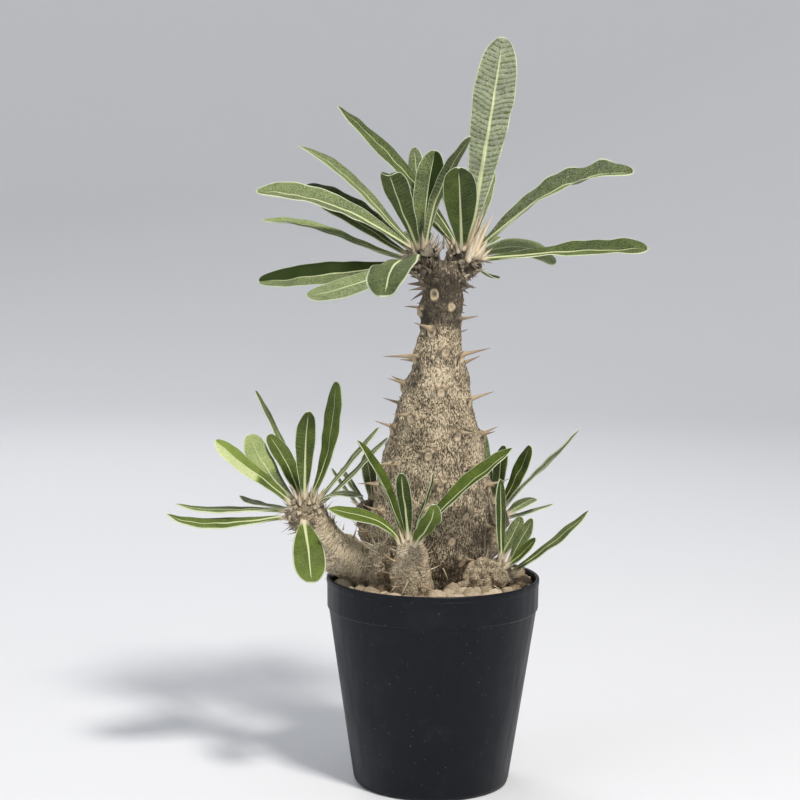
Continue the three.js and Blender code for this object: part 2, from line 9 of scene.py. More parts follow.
import bmesh
import bpy
import numpy as np
from mathutils import Matrix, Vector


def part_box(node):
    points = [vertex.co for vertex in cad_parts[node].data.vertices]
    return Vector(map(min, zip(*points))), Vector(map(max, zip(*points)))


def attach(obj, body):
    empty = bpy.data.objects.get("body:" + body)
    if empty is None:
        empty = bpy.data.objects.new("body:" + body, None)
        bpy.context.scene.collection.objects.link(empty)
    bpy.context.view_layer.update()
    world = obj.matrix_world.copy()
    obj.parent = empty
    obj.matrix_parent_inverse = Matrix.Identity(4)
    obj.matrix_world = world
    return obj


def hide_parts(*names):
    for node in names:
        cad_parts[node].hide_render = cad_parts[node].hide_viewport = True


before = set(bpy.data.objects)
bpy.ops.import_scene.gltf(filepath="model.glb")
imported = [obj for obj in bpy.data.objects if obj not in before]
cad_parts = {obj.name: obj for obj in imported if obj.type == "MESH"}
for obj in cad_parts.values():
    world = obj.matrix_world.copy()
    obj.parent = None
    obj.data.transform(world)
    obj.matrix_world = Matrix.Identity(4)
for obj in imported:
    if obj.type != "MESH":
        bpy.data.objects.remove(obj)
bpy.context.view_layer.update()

bl_info = {
    "name": "Potted cactipes",
    "version": (1, 0, 0),
    "blender": (4, 5, 0),
    "location": "View3D > Sidebar > Plant",
    "description": "Builds the pot, soil, bark, spines and leaves of a potted Pachypodium cactipes",
    "category": "Add Mesh",
}

MM = 0.001
UP = np.array([0.0, 0.0, 1.0])
GOLDEN_TURN = math.radians(137.508)

# Trunk: height of each row, its radius, and the x and y of its axis
TRUNK = np.array([
    (82, 18, -1, 7), (90, 20, -1, 7.5), (99, 24.5, -1, 8), (107, 28, -1, 8), (116, 30, -1, 8),
    (126, 31, -1, 8), (141, 29, 0, 7), (155, 26.5, 0, 6), (165, 24, 0, 5), (177, 21, 0.5, 4),
    (190, 17.5, 0.5, 3), (202, 14.3, 1.5, 2), (214, 11.6, 2, 1), (227, 9.2, 2.5, 0.5),
    (243, 9, 3, 0), (250, 10.4, 3, 0), (257, 9, 3, 0),
])

# Limbs: x, y, z and radius along each. The last row is the head that carries its leaves.
LIMBS = {
    "crown_left": np.array([(2, 0, 243, 6.5), (-2, 0, 250.5, 6.6), (-6.5, 0, 258, 8)]),
    "crown_right": np.array([(5, 0, 243, 6.5), (8, 0, 250.5, 6.8), (13.5, 0, 258, 8.5)]),
    "left": np.array([
        (-10, 5, 97, 11.5), (-26, 1, 104.5, 11.3), (-40, -1, 109.5, 10.9), (-54, -3, 121, 10),
        (-63, -4, 134, 9.5),
    ]),
    "front": np.array([
        (-8, -16, 84, 10), (-10, -22, 97, 10.5), (-11, -25, 108, 10.3), (-11, -26, 118.5, 8.5),
    ]),
    "right": np.array([(12, -2, 94, 10), (21, -8, 103, 10.5), (30, -13, 105.5, 8.8)]),
    "knob": np.array([(-14, -5, 100, 9), (-22, -13, 110, 8), (-25, -17, 116, 6.5)]),
    "rear_right": np.array([(10, 14, 98, 10), (24, 21, 113, 10), (31, 24, 127, 8)]),
    "rear_left": np.array([(-10, 14, 98, 10), (-25, 23, 113, 10), (-32, 27, 128, 8)]),
}

# How each limb's skin looks: height of its lumps, their spacing, height of its cross wrinkles,
# lightness of its colour, partly painted sunlight on the limbs that the sun falls on, how brown its
# bristles are, and how many bristles and hairs
SKIN_COLUMNS = ("lump", "spacing", "wrinkle", "lightness_and_sunlight", "brown", "bristles", "hairs")
LIMB_SKIN = {name: dict(zip(SKIN_COLUMNS, row)) for name, row in {
    "crown_left": (1.1, 4, 0.1, 0.3, 0.72, 40, 110),
    "crown_right": (1.1, 4, 0.1, 0.5, 0.58, 40, 120),
    "left": (0.8, 8, 0.2, 1.9, 0.5, 90, 60),
    "front": (0.6, 7, 0.08, 1.25, 0.0, 16, 40),
    "right": (1.4, 5, 0.12, 1.1, 0.15, 40, 50),
    "knob": (1.1, 5, 0.15, 1.3, 0.05, 30, 10),
    "rear_right": (0.6, 7, 0.15, 0.6, 0.3, 26, 30),
    "rear_left": (0.6, 7, 0.15, 0.6, 0.3, 26, 30),
}.items()}

# Leaf scars: turn from the front towards +X, height, length of the spine on the side of -X seen from
# the front and of the other, and whether the scar is a dark ring rather than a pale disc
SCARS = [
    (-27, 242, 0, 0, True), (29, 236, 0, 0, False), (-76, 233, 9, 7, False), (80, 228, 5, 10, False),
    (-28, 224, 9, 6, True), (12, 214, 7, 7, False), (54, 211, 6, 13, False), (-61, 210, 15, 9, False),
    (-90, 196, 11, 10, False), (6, 195, 8, 8, False), (60, 189, 7, 14, False), (-35, 182, 10, 8, False),
    (-69, 175, 10, 9, False), (27, 174, 6, 10, False), (88, 171, 8, 10, False), (-7, 165, 7, 7, False),
    (-49, 158, 9, 7, False), (42, 157, 8, 10, False), (5, 150, 5, 5, False), (67, 147, 8, 10, False),
    (-78, 146, 9, 9, False), (-30, 141, 7, 7, False), (29, 136, 7, 7, False), (-60, 134, 8, 8, False),
    (62, 127, 8, 8, False), (17, 124, 7, 7, False), (28, 113, 8, 8, False), (-84, 121, 8, 8, False),
]
SCAR_BACK_REACH = 65
SCAR_BACK_DROP = 4

# Short dark spines round the neck: turn from the front, height, rise and length
NECK_SPINES = [
    (-78, 247, 4, 8), (-70, 245, -8, 9), (-84, 243, -28, 8), (74, 249, -35, 8), (82, 246, -4, 8),
    (70, 244, 6, 6), (-86, 238, 2, 4), (84, 237, 3, 4), (80, 233, 0, 3), (98, 246, 8, 8),
    (-104, 246, 4, 8), (150, 247, 5, 9), (-150, 246, -5, 9), (178, 244, 10, 8), (125, 245, -15, 8),
    (-24, 255, 55, 8), (-8, 256, 68, 7), (5, 255, 62, 9), (18, 256, 52, 8), (32, 254, 40, 7),
    (-38, 253, 30, 7), (-2, 251, 30, 6), (14, 248, 18, 6), (-14, 249, 15, 6), (170, 255, 60, 8),
    (-165, 255, 50, 7), (145, 254, 45, 7),
]

# Patches of painted shade on the trunk, such as the shadows that the leaves cast on the neck, the left
# flank and the lower right, and paler patches where the amount is below zero: turn from the front,
# height, half spans round and up it, and how much darker (or lighter, below zero) the bark is there
SHADE_PATCHES = [
    (-5, 230, 40, 8, 1.1), (20, 243, 30, 6, 0.4), (0, 249, 90, 11, 0.9), (-50, 208, 5, 12, 0.8),
    (10, 219, 5, 6, -1.0),
    (8, 203, 5, 7, -1.0), (0, 186, 5, 5, -0.5), (40, 124, 15, 15, 0.75), (66, 134, 12, 16, 0.3),
    (20, 104, 18, 12, 0.8), (-62, 108, 12, 8, 0.5), (-40, 175, 12, 14, 0.35), (48, 176, 10, 20, 0.2),
    (150, 215, 16, 22, 0.8), (-150, 180, 20, 25, 0.6), (170, 130, 30, 20, 0.8),
]

# Curly pale spines on the front stub and at the foot of the trunk: foot and tip
CURLS = [
    ((-19.8, -30, 116), (-25.4, -33, 119)), ((-21.7, -29, 119), (-22, -32, 122.5)),
    ((-19.8, -30.5, 107.5), (-15, -38, 108.5)), ((-12.8, -35, 106), (-14.7, -40, 102)),
    ((-18.4, -31.5, 104), (-18.4, -36, 101.5)), ((-6.7, -34.5, 113.3), (0.8, -37, 112.3)),
    ((-5.8, -34, 104.2), (3.1, -38, 106)), ((-5.8, -34, 105), (-3.9, -39, 103)),
    ((-12, -35, 112), (-9, -39, 114)), ((4, -19, 117), (-0.8, -23, 120.6)), ((4, -19, 117), (9.2, -23, 120)),
    ((4, -19, 111), (7, -24, 108)), ((11, -17, 118), (12, -22, 114)), ((16, -14, 119), (21, -19, 115)),
    ((-24, -12, 126), (-29, -16, 129)), ((-27, -7, 124), (-31, -12, 121)), ((-20, -20, 117), (-25, -25, 119)),
    ((-23, -20, 114), (-20, -26, 112)), ((-28, -15, 117), (-31, -20, 121)),
    ((-25, -20, 118), (-27, -24, 123)),
]

# Dead stalks on the right lump: foot and tip
DRY_STALKS = [
    ((25, -12, 112), (23.5, -13, 131)), ((28, -11, 113), (28, -12, 133)), ((31, -12, 113), (34, -13, 124)),
    ((22, -14, 111), (19, -16, 121)),
]


def leaf(tip, start, bow, width, roll, **more):
    """A row of the leaf table.

    tip is where the leaf ends, start the turn and rise of its foot on the head, bow how far it stands
    off the straight line at a third and at two thirds of it, and roll the turn of its blade. more may
    hold sway, fold, wave and belly, and these: tones are the lightness of its two halves, partly their
    own colour and partly painted shade and light, so that a half turned from the light is painted
    darker, felt is how grey its hair makes it, point how sharp its tip is, edge how wide its white
    margin and rib are against the others, curl how many degrees its end is bent back, from the place
    curl_from on, glow how much lighter the outer part of each half is painted, as sunlight that falls
    on it, and frill how high one margin's waves are there.
    """
    row = {"tip": tip, "start": start, "bow": bow, "width": width, "roll": roll, "sway": (0, 0)}
    row |= {"fold": 0.12, "wave": 0.0, "belly": BELLY, "tones": (0.45, 0.45), "felt": 0.5, "point": 0.0}
    return row | {"edge": 0.72, "curl": 0.0, "curl_from": 0.84, "glow": (0.0, 0.0), "frill": 0.0} | more


BELLY = 0.64
LEAVES = {
    "crown_left": [
        leaf((-68, 8, 313), (160, 52), (2, 9), 10, -25, fold=0.3, tones=(0.55, 0.4), point=0.9),
        leaf((-86, -18, 290), (200, 40), (8, 11), 13, -42, fold=0.5, felt=0.6, tones=(0.35, 0.5), edge=1.3),
        leaf((-64, 14, 294), (137, 31), (4, 6), 12, -25, fold=0.3, felt=0.5, tones=(0.1, 0.0)),
        leaf((-56, -5, 284), (186, 16), (0, 4), 10, -35, felt=0.3, tones=(0.2, 0.15)),
        leaf((-85, 6, 276), (158, 2), (-2, 9), 10, -18, fold=0.3, felt=0.8, tones=(0.35, 0.9)),
        leaf((-86, -3, 247), (190, -12), (-1, -1), 14, -45, fold=0.35, tones=(0.4, -0.5), felt=0.5),
        leaf((-62, -18, 241), (218, -24), (1, -3), 12, -45, tones=(0.55, 0.6), felt=0.7),
        leaf((-25, -43, 242), (-112, 8), (6, 16), 25, 10, belly=0.7, felt=0.3, tones=(0.2, 0.25), edge=2.2),
        leaf((-23, -32, 301), (-125, 48), (2, -3), 14, 0, fold=0.3, belly=0.84, felt=0.1, tones=(0.15, 0.15),
             curl=130, curl_from=0.95),
        leaf((-1, -2, 311), (0, 86), (2, 2), 14, 108, fold=0.3, tones=(0.45, -0.6), felt=0.5),
        leaf((15, -22, 317), (-78, 50), (8, 7), 10, 0, felt=0.4, tones=(0.3, 0.3)),
        leaf((-11, 26, 313), (110, 55), (2, 4), 9, -20, tones=(0.2, 0.2)),
        leaf((-10, 68, 268), (95, 20), (6, 8), 14, 0),
    ],
    "crown_right": [
        leaf((-49, 20, 333), (150, 56), (8, 4), 13, -20, felt=0.2, tones=(0.25, 0.15), point=0.6),
        leaf((-15, 28, 292), (130, 34), (5, -3), 10, 0),
        leaf((5, 22, 303), (96, 46), (5, -5), 10, 0),
        leaf((9, -42, 302), (-105, 38), (2, 4), 16, 0, fold=0.25, felt=0.04, tones=(0.1, 0.3)),
        leaf((30, -14, 364), (-40, 66), (0, -1), 20, -44, belly=0.74, felt=1.0, tones=(0.3, 0.3), edge=1.2),
        leaf((94, -8, 301), (-12, 32), (9, 16), 16, 30, fold=0.55, wave=0.8, frill=1.5, felt=0.55,
             tones=(0.1, 0.4), edge=1.2),
        leaf((102, -6, 264.5), (-8, 0), (2, 1.5), 14, 30, fold=0.4, wave=0.5, belly=0.78, felt=0.2,
             tones=(0.1, 0.3), edge=1.2),
        leaf((60, 26, 257), (32, 20), (7, 9), 14, 45, belly=0.74, felt=1.0, tones=(0.9, 0.9)),
        leaf((32, 18, 250), (35, -22), (0, -4), 7, 20, tones=(0.1, 0.1), point=0.8),
        leaf((32, 46, 269), (68, 15), (3, 2), 10, 0),
        leaf((26, 58, 306), (60, 34), (5, 6), 15, 0),
    ],
    "left": [
        leaf((-131, -10, 134), (-165, -15), (-1, -9), 11, -20, point=0.9, felt=0.1, tones=(0.5, 0.4),
             edge=1.4),
        leaf((-128, -2, 138), (180, 4), (2, -5), 9, -10, point=0.9, felt=0.1, tones=(0.5, 0.35), edge=1.4),
        leaf((-98, 24, 138), (145, 0), (1, -3), 8, 0, tones=(0.2, 0.2), point=0.9),
        leaf((-106, -14, 171), (-155, 28), (3, -2), 12, -40, belly=0.74, felt=0.1, tones=(0.35, 0.45),
             glow=(1.6, 0.5)),
        leaf((-91, 2, 172), (170, 48), (-3, -4), 14, -35, belly=0.74, felt=0.6, tones=(0.35, 0.35),
             glow=(0.9, 0.9)),
        leaf((-82, 8, 171), (125, 44), (4, 3), 11, -25, felt=0.05, tones=(0.25, 0.3)),
        leaf((-90, 30, 191), (102, 18), (6, 2), 9, 30, felt=0.4, tones=(0.4, 0.4)),
        leaf((-61, -20, 186), (-95, 55), (3, 8), 10.5, 15, felt=0.05, tones=(0.24, 0.24)),
        leaf((-48, -4, 199), (20, 68), (-5, -3), 14, 40, felt=0.05, tones=(0.32, 0.32)),
        leaf((-34, -18, 145), (-35, 28), (8, 3), 8, 10, tones=(0.15, 0.15), point=0.8),
        leaf((-58, -42, 107), (-96, -15), (5, 4), 16, 0, felt=0.05, tones=(0.45, 0.45), edge=1.3),
        leaf((-27, 10, 175), (30, 40), (-1, 1), 6, 5, tones=(0.3, 0.3)),
        leaf((-23, 18, 169), (50, 15), (-3, 0), 6, 0, tones=(0.2, 0.2)),
    ],
    "front": [
        leaf((-37, -30, 174), (175, 55), (4, 2), 10, -30, fold=0.5, felt=0, tones=(0.25, 0.3), point=0.7),
        leaf((-16, -36, 159), (-120, 62), (3, -1), 8, 0, belly=0.7, felt=0, tones=(0.05, 0.1)),
        leaf((-1, -32, 159), (-40, 68), (3, -2), 9, 20, felt=0, tones=(0.15, 0.15), point=0.7),
        leaf((36, -40, 172), (-12, 45), (8, 1), 11, 40, sway=(5, 2), fold=0.5, felt=0, tones=(0.35, 0.3),
             point=0.5, edge=0.9),
        leaf((-1, -53, 147), (-75, 32), (4, -8), 11, 0, wave=0.8, felt=0, tones=(0.45, 0.45)),
        leaf((-51, -38, 142), (-160, 32), (12, 3), 9, -40, felt=0, tones=(0.5, 0.5), point=0.8),
    ],
    "right": [
        leaf((32, -12, 153), (0, 66), (1, 0), 6, 0, tones=(0.1, 0.1), felt=0.1),
        leaf((43, -2, 133), (70, 50), (1, -2), 9, 20, felt=0.5, tones=(0.4, 0.4)),
        leaf((48, -14, 134), (12, 30), (0, 0), 9, 40, felt=0.4, tones=(0.4, 0.4)),
        leaf((49, -26, 126), (-45, 35), (0, 0), 9, 40, felt=0, tones=(0.25, 0.25)),
        leaf((75, -18, 139), (-20, 5), (-1, -2), 9, 20, felt=0.1, tones=(0.25, 0.25), point=0.8),
    ],
    "rear_right": [
        leaf((36, 30, 164), (70, 75), (0, 1), 9, 0, tones=(0.05, 0.05), felt=0.2),
        leaf((49, 22, 165), (-35, 60), (-1, -1), 12, 30, tones=(0.1, 0.1), felt=0),
        leaf((74, 30, 173), (12, 45), (3, -2), 8, -30, tones=(0.3, 0.3), point=0.9),
        leaf((53, 38, 135), (30, 5), (1, 3), 10, 5, felt=0.6, tones=(0.5, 0.5)),
        leaf((63, 44, 132), (55, -12), (0, -1), 6, 0, tones=(0.3, 0.3), point=0.9),
        leaf((25, 44, 170), (125, 55), (3, -4), 8, 0, tones=(0.2, 0.2)),
    ],
    "rear_left": [
        leaf((-52, 40, 150), (150, 28), (0, -1), 7, 20, tones=(0.2, 0.2)),
        leaf((-47, 48, 149), (110, 28), (1, -1), 7, 20, tones=(0.2, 0.2)),
        leaf((-34, 34, 159), (60, 60), (1, 0), 9, 0, tones=(0.1, 0.1)),
    ],
}
PETIOLE_WIDTH = 2.6
PETIOLE_THICKNESS = 2.2
PETIOLE_DEPTH = 2.4
PETIOLE_END = 0.24
WAVES_PER_LEAF = 3
FRILL_PITCH = 0.17


def unit(vectors):
    """Each vector divided by its length."""
    return vectors / np.linalg.norm(vectors, axis=-1, keepdims=True)


def ease(low, high, x):
    """The smooth step 3t² - 2t³, where t runs from 0 at low to 1 at high."""
    t = np.clip((x - low) / (high - low), 0, 1)
    return t * t * (3 - 2 * t)


def direction(turn, rise):
    """The unit vector turned from +X towards +Y and raised above the level, both in degrees."""
    turn, rise = np.radians(turn), np.radians(rise)
    return np.stack([np.cos(rise) * np.cos(turn), np.cos(rise) * np.sin(turn), np.sin(rise) + 0 * turn], -1)


def through(knots, values, at):
    """Values on the cubic Hermite curve through the knots, whose slopes are the central differences."""
    knots, values = np.asarray(knots, float), np.asarray(values, float)
    slopes = np.gradient(values, knots, axis=0)
    k = np.clip(np.searchsorted(knots, at, side="right") - 1, 0, len(knots) - 2)
    span = (knots[k + 1] - knots[k]).reshape(-1, *[1] * (values.ndim - 1))
    t = ((at - knots[k]) / (knots[k + 1] - knots[k])).reshape(span.shape)
    rise = (2 * t**3 - 3 * t**2 + 1) * values[k] + (3 * t**2 - 2 * t**3) * values[k + 1]
    return rise + span * ((t**3 - 2 * t**2 + t) * slopes[k] + (t**3 - t**2) * slopes[k + 1])


def waves(points, wavelength, seed, count=40):
    """Smooth noise of spread 1: plane waves of about one wavelength, with random ways and phases."""
    random = np.random.default_rng(seed)
    ways = unit(random.normal(size=(count, 3))) * 2 * np.pi
    ways /= wavelength * random.uniform(0.75, 1.35, (count, 1))
    phases = random.uniform(0, 2 * np.pi, count)
    return np.cos(points @ ways.T + phases).sum(-1) * math.sqrt(2 / count)


def with_poles(field, depth):
    """A field over rows and columns, flattened, with its first and last rows' means added at the end.

    depth is 1 for points, which have a last axis of their own, and 0 for numbers.
    """
    column_axis = -1 - depth
    first = field.take([0], column_axis - 1).mean(column_axis)
    last = field.take([-1], column_axis - 1).mean(column_axis)
    flat = field.reshape(field.shape[0], -1, *field.shape[3:])
    return np.concatenate([flat, first, last], 1)


def shell_faces(rows, columns):
    """Faces of a closed shell: quads between rings that close on themselves, and a fan at each pole."""
    row, column = np.arange(rows - 1)[:, None] * columns, np.arange(columns)[None, :]
    following = (column + 1) % columns
    quads = np.stack([row + column, row + following, row + columns + following, row + columns + column], -1)
    ring, pole, top = column[0], np.full(columns, rows * columns), (rows - 1) * columns
    foot_fan = np.stack([ring, pole, following[0]], -1)
    top_fan = np.stack([top + ring, top + following[0], pole + 1], -1)
    return quads.reshape(-1, 4), np.concatenate([foot_fan, top_fan])


def make_piece(name, points, faces, material, fields=None, nodes=()):
    """A smooth mesh object from points in millimetres and arrays of faces, with number fields on its
    points. It rides on the root body, and the given nodes are hidden in its place."""
    mesh = bpy.data.meshes.new(name)
    corners = np.concatenate([part.ravel() for part in faces])
    sizes = np.concatenate([np.full(len(part), part.shape[1]) for part in faces])
    mesh.vertices.add(len(points))
    mesh.vertices.foreach_set("co", (points * MM).astype(np.float32).ravel())
    mesh.loops.add(len(corners))
    mesh.loops.foreach_set("vertex_index", corners.astype(np.int32))
    mesh.polygons.add(len(sizes))
    mesh.polygons.foreach_set("loop_start", (np.cumsum(sizes) - sizes).astype(np.int32))
    mesh.update(calc_edges=True)
    mesh.shade_smooth()
    for key, values in (fields or {}).items():
        kind, item = ("FLOAT_VECTOR", "vector") if values.ndim == 2 else ("FLOAT", "value")
        attribute = mesh.attributes.new(key, kind, "POINT")
        attribute.data.foreach_set(item, values.astype(np.float32).ravel())
    mesh.materials.append(material)
    piece = bpy.data.objects.new(name, mesh)
    bpy.context.scene.collection.objects.link(piece)
    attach(piece, "root")
    if nodes:
        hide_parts(*nodes)
    return piece


def make_shells(name, rings, material, fields=None, nodes=()):
    """A piece of closed shells, from rings of shape shells by rows by columns by 3, and fields on them."""
    count, rows, columns = rings.shape[:3]
    per_shell = rows * columns + 2
    offsets = (np.arange(count) * per_shell)[:, None, None]
    faces = [(part[None] + offsets).reshape(-1, part.shape[1]) for part in shell_faces(rows, columns)]
    flat_fields = {}
    for key, values in (fields or {}).items():
        if values.ndim == 4:
            flat_fields[key] = with_poles(values, 1).reshape(-1, 3)
        else:
            full = np.broadcast_to(values, rings.shape[:3])
            flat_fields[key] = with_poles(full, 0).reshape(-1)
    points = with_poles(rings, 1).reshape(-1, 3)
    return make_piece(name, points, faces, material, flat_fields, nodes)


def spikes(feet, ways, bends, lengths, radii, rows, sides, flare=0.0, flatten=1.0):
    """Rings of many curved spikes at once.

    Along each, the line is the foot plus its length times (t times its way plus t² times its bend),
    and the radius is its own times (1 - t) to the power 0.8 plus a flare that dies away from the foot.
    """
    t = np.linspace(0, 1, rows)[None, :, None]
    line = feet[:, None] + lengths[:, None, None] * (t * ways[:, None] + t**2 * bends[:, None])
    tangent = unit(ways[:, None] + 2 * t * bends[:, None])
    reference = np.where(np.abs(ways[:, 2:3]) > 0.8, [[1.0, 0.0, 0.0]], UP[None])[:, None]
    across = unit(np.cross(reference, tangent))
    along = np.cross(tangent, across)
    radius = radii[:, None] * ((1 - t[..., 0]) ** 0.8 + 0.02 + flare * np.exp(-t[..., 0] / 0.14))
    angle = np.linspace(0, 2 * np.pi, sides, endpoint=False)
    ring = np.cos(angle)[:, None] * across[:, :, None] + flatten * np.sin(angle)[:, None] * along[:, :, None]
    return line[:, :, None] + radius[:, :, None, None] * ring


class Finish:
    """A material while it is put together: its shader, and short ways to add nodes to it."""

    def __init__(self, name, **settings):
        self.material = bpy.data.materials.new(name)
        self.material.use_nodes = True
        self.tree = self.material.node_tree
        self.shader = self.tree.nodes["Principled BSDF"]
        self.set(**settings)

    def set(self, **inputs):
        """Gives inputs of the shader a value or a link, each by its name with underscores."""
        for key, value in inputs.items():
            self.feed(self.shader.inputs[key.replace("_", " ").title().replace("Ior", "IOR")], value)

    def add(self, kind, inputs, **settings):
        """A node of a kind, with its settings, and its inputs set to a value or linked to a socket."""
        node = self.tree.nodes.new("ShaderNode" + kind)
        for key, value in settings.items():
            setattr(node, key, value)
        for key, value in inputs.items():
            self.feed(node.inputs[key], value)
        return node

    def feed(self, socket, value):
        """Links a socket to another, or gives it a value."""
        if isinstance(value, bpy.types.NodeSocket):
            self.tree.links.new(value, socket)
        else:
            socket.default_value = value

    def attribute(self, name):
        """A number field of the mesh."""
        return self.add("Attribute", {}, attribute_name=name).outputs["Fac"]

    def place(self, scale=(1, 1, 1), attribute=None):
        """Object coordinates, or a vector field of the mesh, stretched by scale."""
        if attribute:
            source = self.add("Attribute", {}, attribute_name=attribute).outputs["Vector"]
        else:
            source = self.add("TexCoord", {}).outputs["Object"]
        return self.add("Mapping", {"Vector": source, "Scale": scale}).outputs["Vector"]

    def noise(self, place, size, detail=3.0, roughness=0.55):
        """Noise from 0 to 1 whose lumps are about size apart."""
        inputs = {"Vector": place, "Scale": 1 / size, "Detail": detail, "Roughness": roughness}
        return self.add("TexNoise", inputs).outputs["Fac"]

    def spread(self, value, low, high, to_low=0.0, to_high=1.0):
        """A value brought smoothly from one range to another."""
        inputs = {"Value": value, "From Min": low, "From Max": high, "To Min": to_low, "To Max": to_high}
        return self.add("MapRange", inputs, interpolation_type="SMOOTHSTEP").outputs["Result"]

    def sum(self, operation, *values, clamp=False):
        """Arithmetic on values."""
        return self.add("Math", dict(enumerate(values)), operation=operation, use_clamp=clamp).outputs[0]

    def blend(self, share, first, second):
        """A colour between two, by a share."""
        node = self.add("Mix", {}, data_type="RGBA", clamp_factor=True)
        self.feed(node.inputs["Factor"], share)
        for socket, colour in ((node.inputs[6], first), (node.inputs[7], second)):
            self.feed(socket, colour if isinstance(colour, bpy.types.NodeSocket) else (*colour, 1))
        return node.outputs[2]

    def relief(self, height, distance, strength=1.0, below=None):
        """A bump of a height field, on top of another bump if one is given."""
        inputs = {"Height": height, "Distance": distance, "Strength": strength}
        if below is not None:
            inputs["Normal"] = below
        return self.add("Bump", inputs).outputs["Normal"]

    def finish(self, **inputs):
        """Feeds the varying inputs to the shader, and returns the material."""
        self.set(**inputs)
        return self.material


def colour_of(value):
    """A colour property as three numbers."""
    return tuple(value)[:3]


def length_property(name, description, millimetres):
    """A length that a user can set, with its default given in millimetres."""
    return bpy.props.FloatProperty(
        name=name, description=description, default=millimetres * MM, min=0.0, unit="LENGTH", precision=5)


def colour_property(name, description, default):
    """A colour that a user can set."""
    return bpy.props.FloatVectorProperty(
        name=name, description=description, default=default, min=0.0, max=1.0, size=3, subtype="COLOR")


def share_property(name, description, default, most=1.0):
    """A share from 0 up that a user can set."""
    return bpy.props.FloatProperty(
        name=name, description=description, default=default, min=0.0, max=most, subtype="FACTOR")


class PotSettings(bpy.types.PropertyGroup):
    """Sizes and colours of the pot"""

    band_height: length_property("Band height", "Height of the band under the rim", 15)
    band_step: length_property("Band step", "How far the band stands out of the wall", 0.8)
    wall: length_property("Wall", "Thickness of the wall", 1.3)
    plastic: colour_property("Plastic", "Colour of the plastic", (0.0035, 0.0050, 0.0085))
    dust: colour_property("Dust", "Colour of the dust on it", (0.16, 0.16, 0.16))


class SoilSettings(bpy.types.PropertyGroup):
    """Sizes and colours of the soil"""

    granule: length_property("Granule", "Mean radius of the large granules", 4.1)
    fines: colour_property("Fines", "Colour of the dark soil between the granules", (0.020, 0.016, 0.012))
    dark: colour_property("Dark granules", "Colour of the darkest granules", (0.17, 0.12, 0.07))
    light: colour_property("Light granules", "Colour of the lightest granules", (0.68, 0.57, 0.42))


class BarkSettings(bpy.types.PropertyGroup):
    """Sizes and colours of the bark and its scars"""

    grain_height: length_property("Grain height", "Height of the fine grain of the bark", 0.13)
    mound_height: length_property("Mound height", "Height of the mound that a leaf scar lies on", 1.7)
    dark: colour_property("Dark bark", "Colour of the dark flecks", (0.060, 0.051, 0.039))
    middle: colour_property("Bark", "Colour between the flecks", (0.29, 0.23, 0.15))
    light: colour_property("Light bark", "Colour of the light flecks", (0.64, 0.545, 0.39))
    scar: colour_property("Scar", "Colour of a leaf scar", (0.70, 0.56, 0.38))


class SpineSettings(bpy.types.PropertyGroup):
    """Sizes and colours of the spines, bristles, hairs and sheaths"""

    spine_radius: length_property("Spine radius", "Radius of a trunk spine near its foot", 0.95)
    bristle_radius: length_property("Bristle radius", "Radius of a bristle near its foot", 0.26)
    foot: colour_property("Spine foot", "Colour of a spine at its foot", (0.42, 0.32, 0.205))
    tip: colour_property("Spine tip", "Colour of a spine at its tip", (0.16, 0.13, 0.10))
    sheath: colour_property("Sheath", "Colour of the dry bud sheaths", (0.72, 0.62, 0.46))


class LeafSettings(bpy.types.PropertyGroup):
    """Sizes and colours of the leaves"""

    blade: length_property("Blade", "Thickness of the blade beside the rib", 0.7)
    rib_height: length_property("Rib height", "How far the rib stands out of the underside", 0.9)
    margin_width: length_property("Margin width", "Width of the pale line along the margin", 0.58)
    vein_height: length_property("Vein height", "Height of the side veins", 0.09)
    dark: colour_property("Dark green", "Colour of the darkest leaves", (0.023, 0.038, 0.007))
    light: colour_property("Light green", "Colour of the lightest leaves", (0.262, 0.36, 0.060))
    felt: colour_property("Felt", "Colour of the hair on felted leaves", (0.44, 0.47, 0.36))
    rib: colour_property("Rib", "Colour of the rib", (0.66, 0.70, 0.40))
    margin: colour_property("Margin", "Colour of the margin", (0.70, 0.76, 0.53))


class StageSettings(bpy.types.PropertyGroup):
    """The floor, the light and the camera"""

    floor: colour_property("Floor", "Colour of the floor and its rising edge", (0.74, 0.75, 0.78))
    key_power: bpy.props.FloatProperty(
        name="Key power", description="Power of the main light", default=37.0, unit="POWER")
    sky: share_property("Sky", "Strength of the even light from above", 0.29, most=4.0)


def rounded(corners, radii, steps=5):
    """An outline with its corners rounded: each corner becomes a quadratic curve between the points
    that lie its radius away from it on the two sides that meet there."""
    corners = np.asarray(corners, float)
    radii = np.asarray(radii, float)[:, None]
    to_last = unit(np.roll(corners, 1, 0) - corners)
    to_next = unit(np.roll(corners, -1, 0) - corners)
    t = np.linspace(0, 1, steps)[:, None]
    start, end = (corners + radii * to_last)[:, None], (corners + radii * to_next)[:, None]
    curve = (1 - t) ** 2 * start + 2 * t * (1 - t) * corners[:, None] + t**2 * end
    return curve.reshape(-1, 2)


def turned(profile, columns):
    """Rings of an outline of radius and height that is carried once round the upright axis."""
    angle = np.linspace(0, 2 * np.pi, columns, endpoint=False)
    radius, height = profile[:, :1], profile[:, 1:]
    return np.stack([radius * np.cos(angle), radius * np.sin(angle), height + 0 * angle], -1)


POT_COLUMNS = 160
POT_FOOT_RADIUS = 38.5
POT_FOOT_LIFT = 2
POT_HUB_RADIUS = 9
POT_CORNER = 4
DRAIN_COUNT = 6
DRAIN_RADIUS = 3.5
DRAIN_CIRCLE = 24


def pot_sizes(settings):
    """The pot's height, rim radius, and the radius of its wall under the band at a height."""
    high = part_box("pot")[1] / MM
    band_foot = high.z - settings.band_height / MM
    top = high.x - settings.band_step / MM - 0.4
    return high.z, high.x, band_foot, lambda z: POT_FOOT_RADIUS + (top - POT_FOOT_RADIUS) * z / band_foot


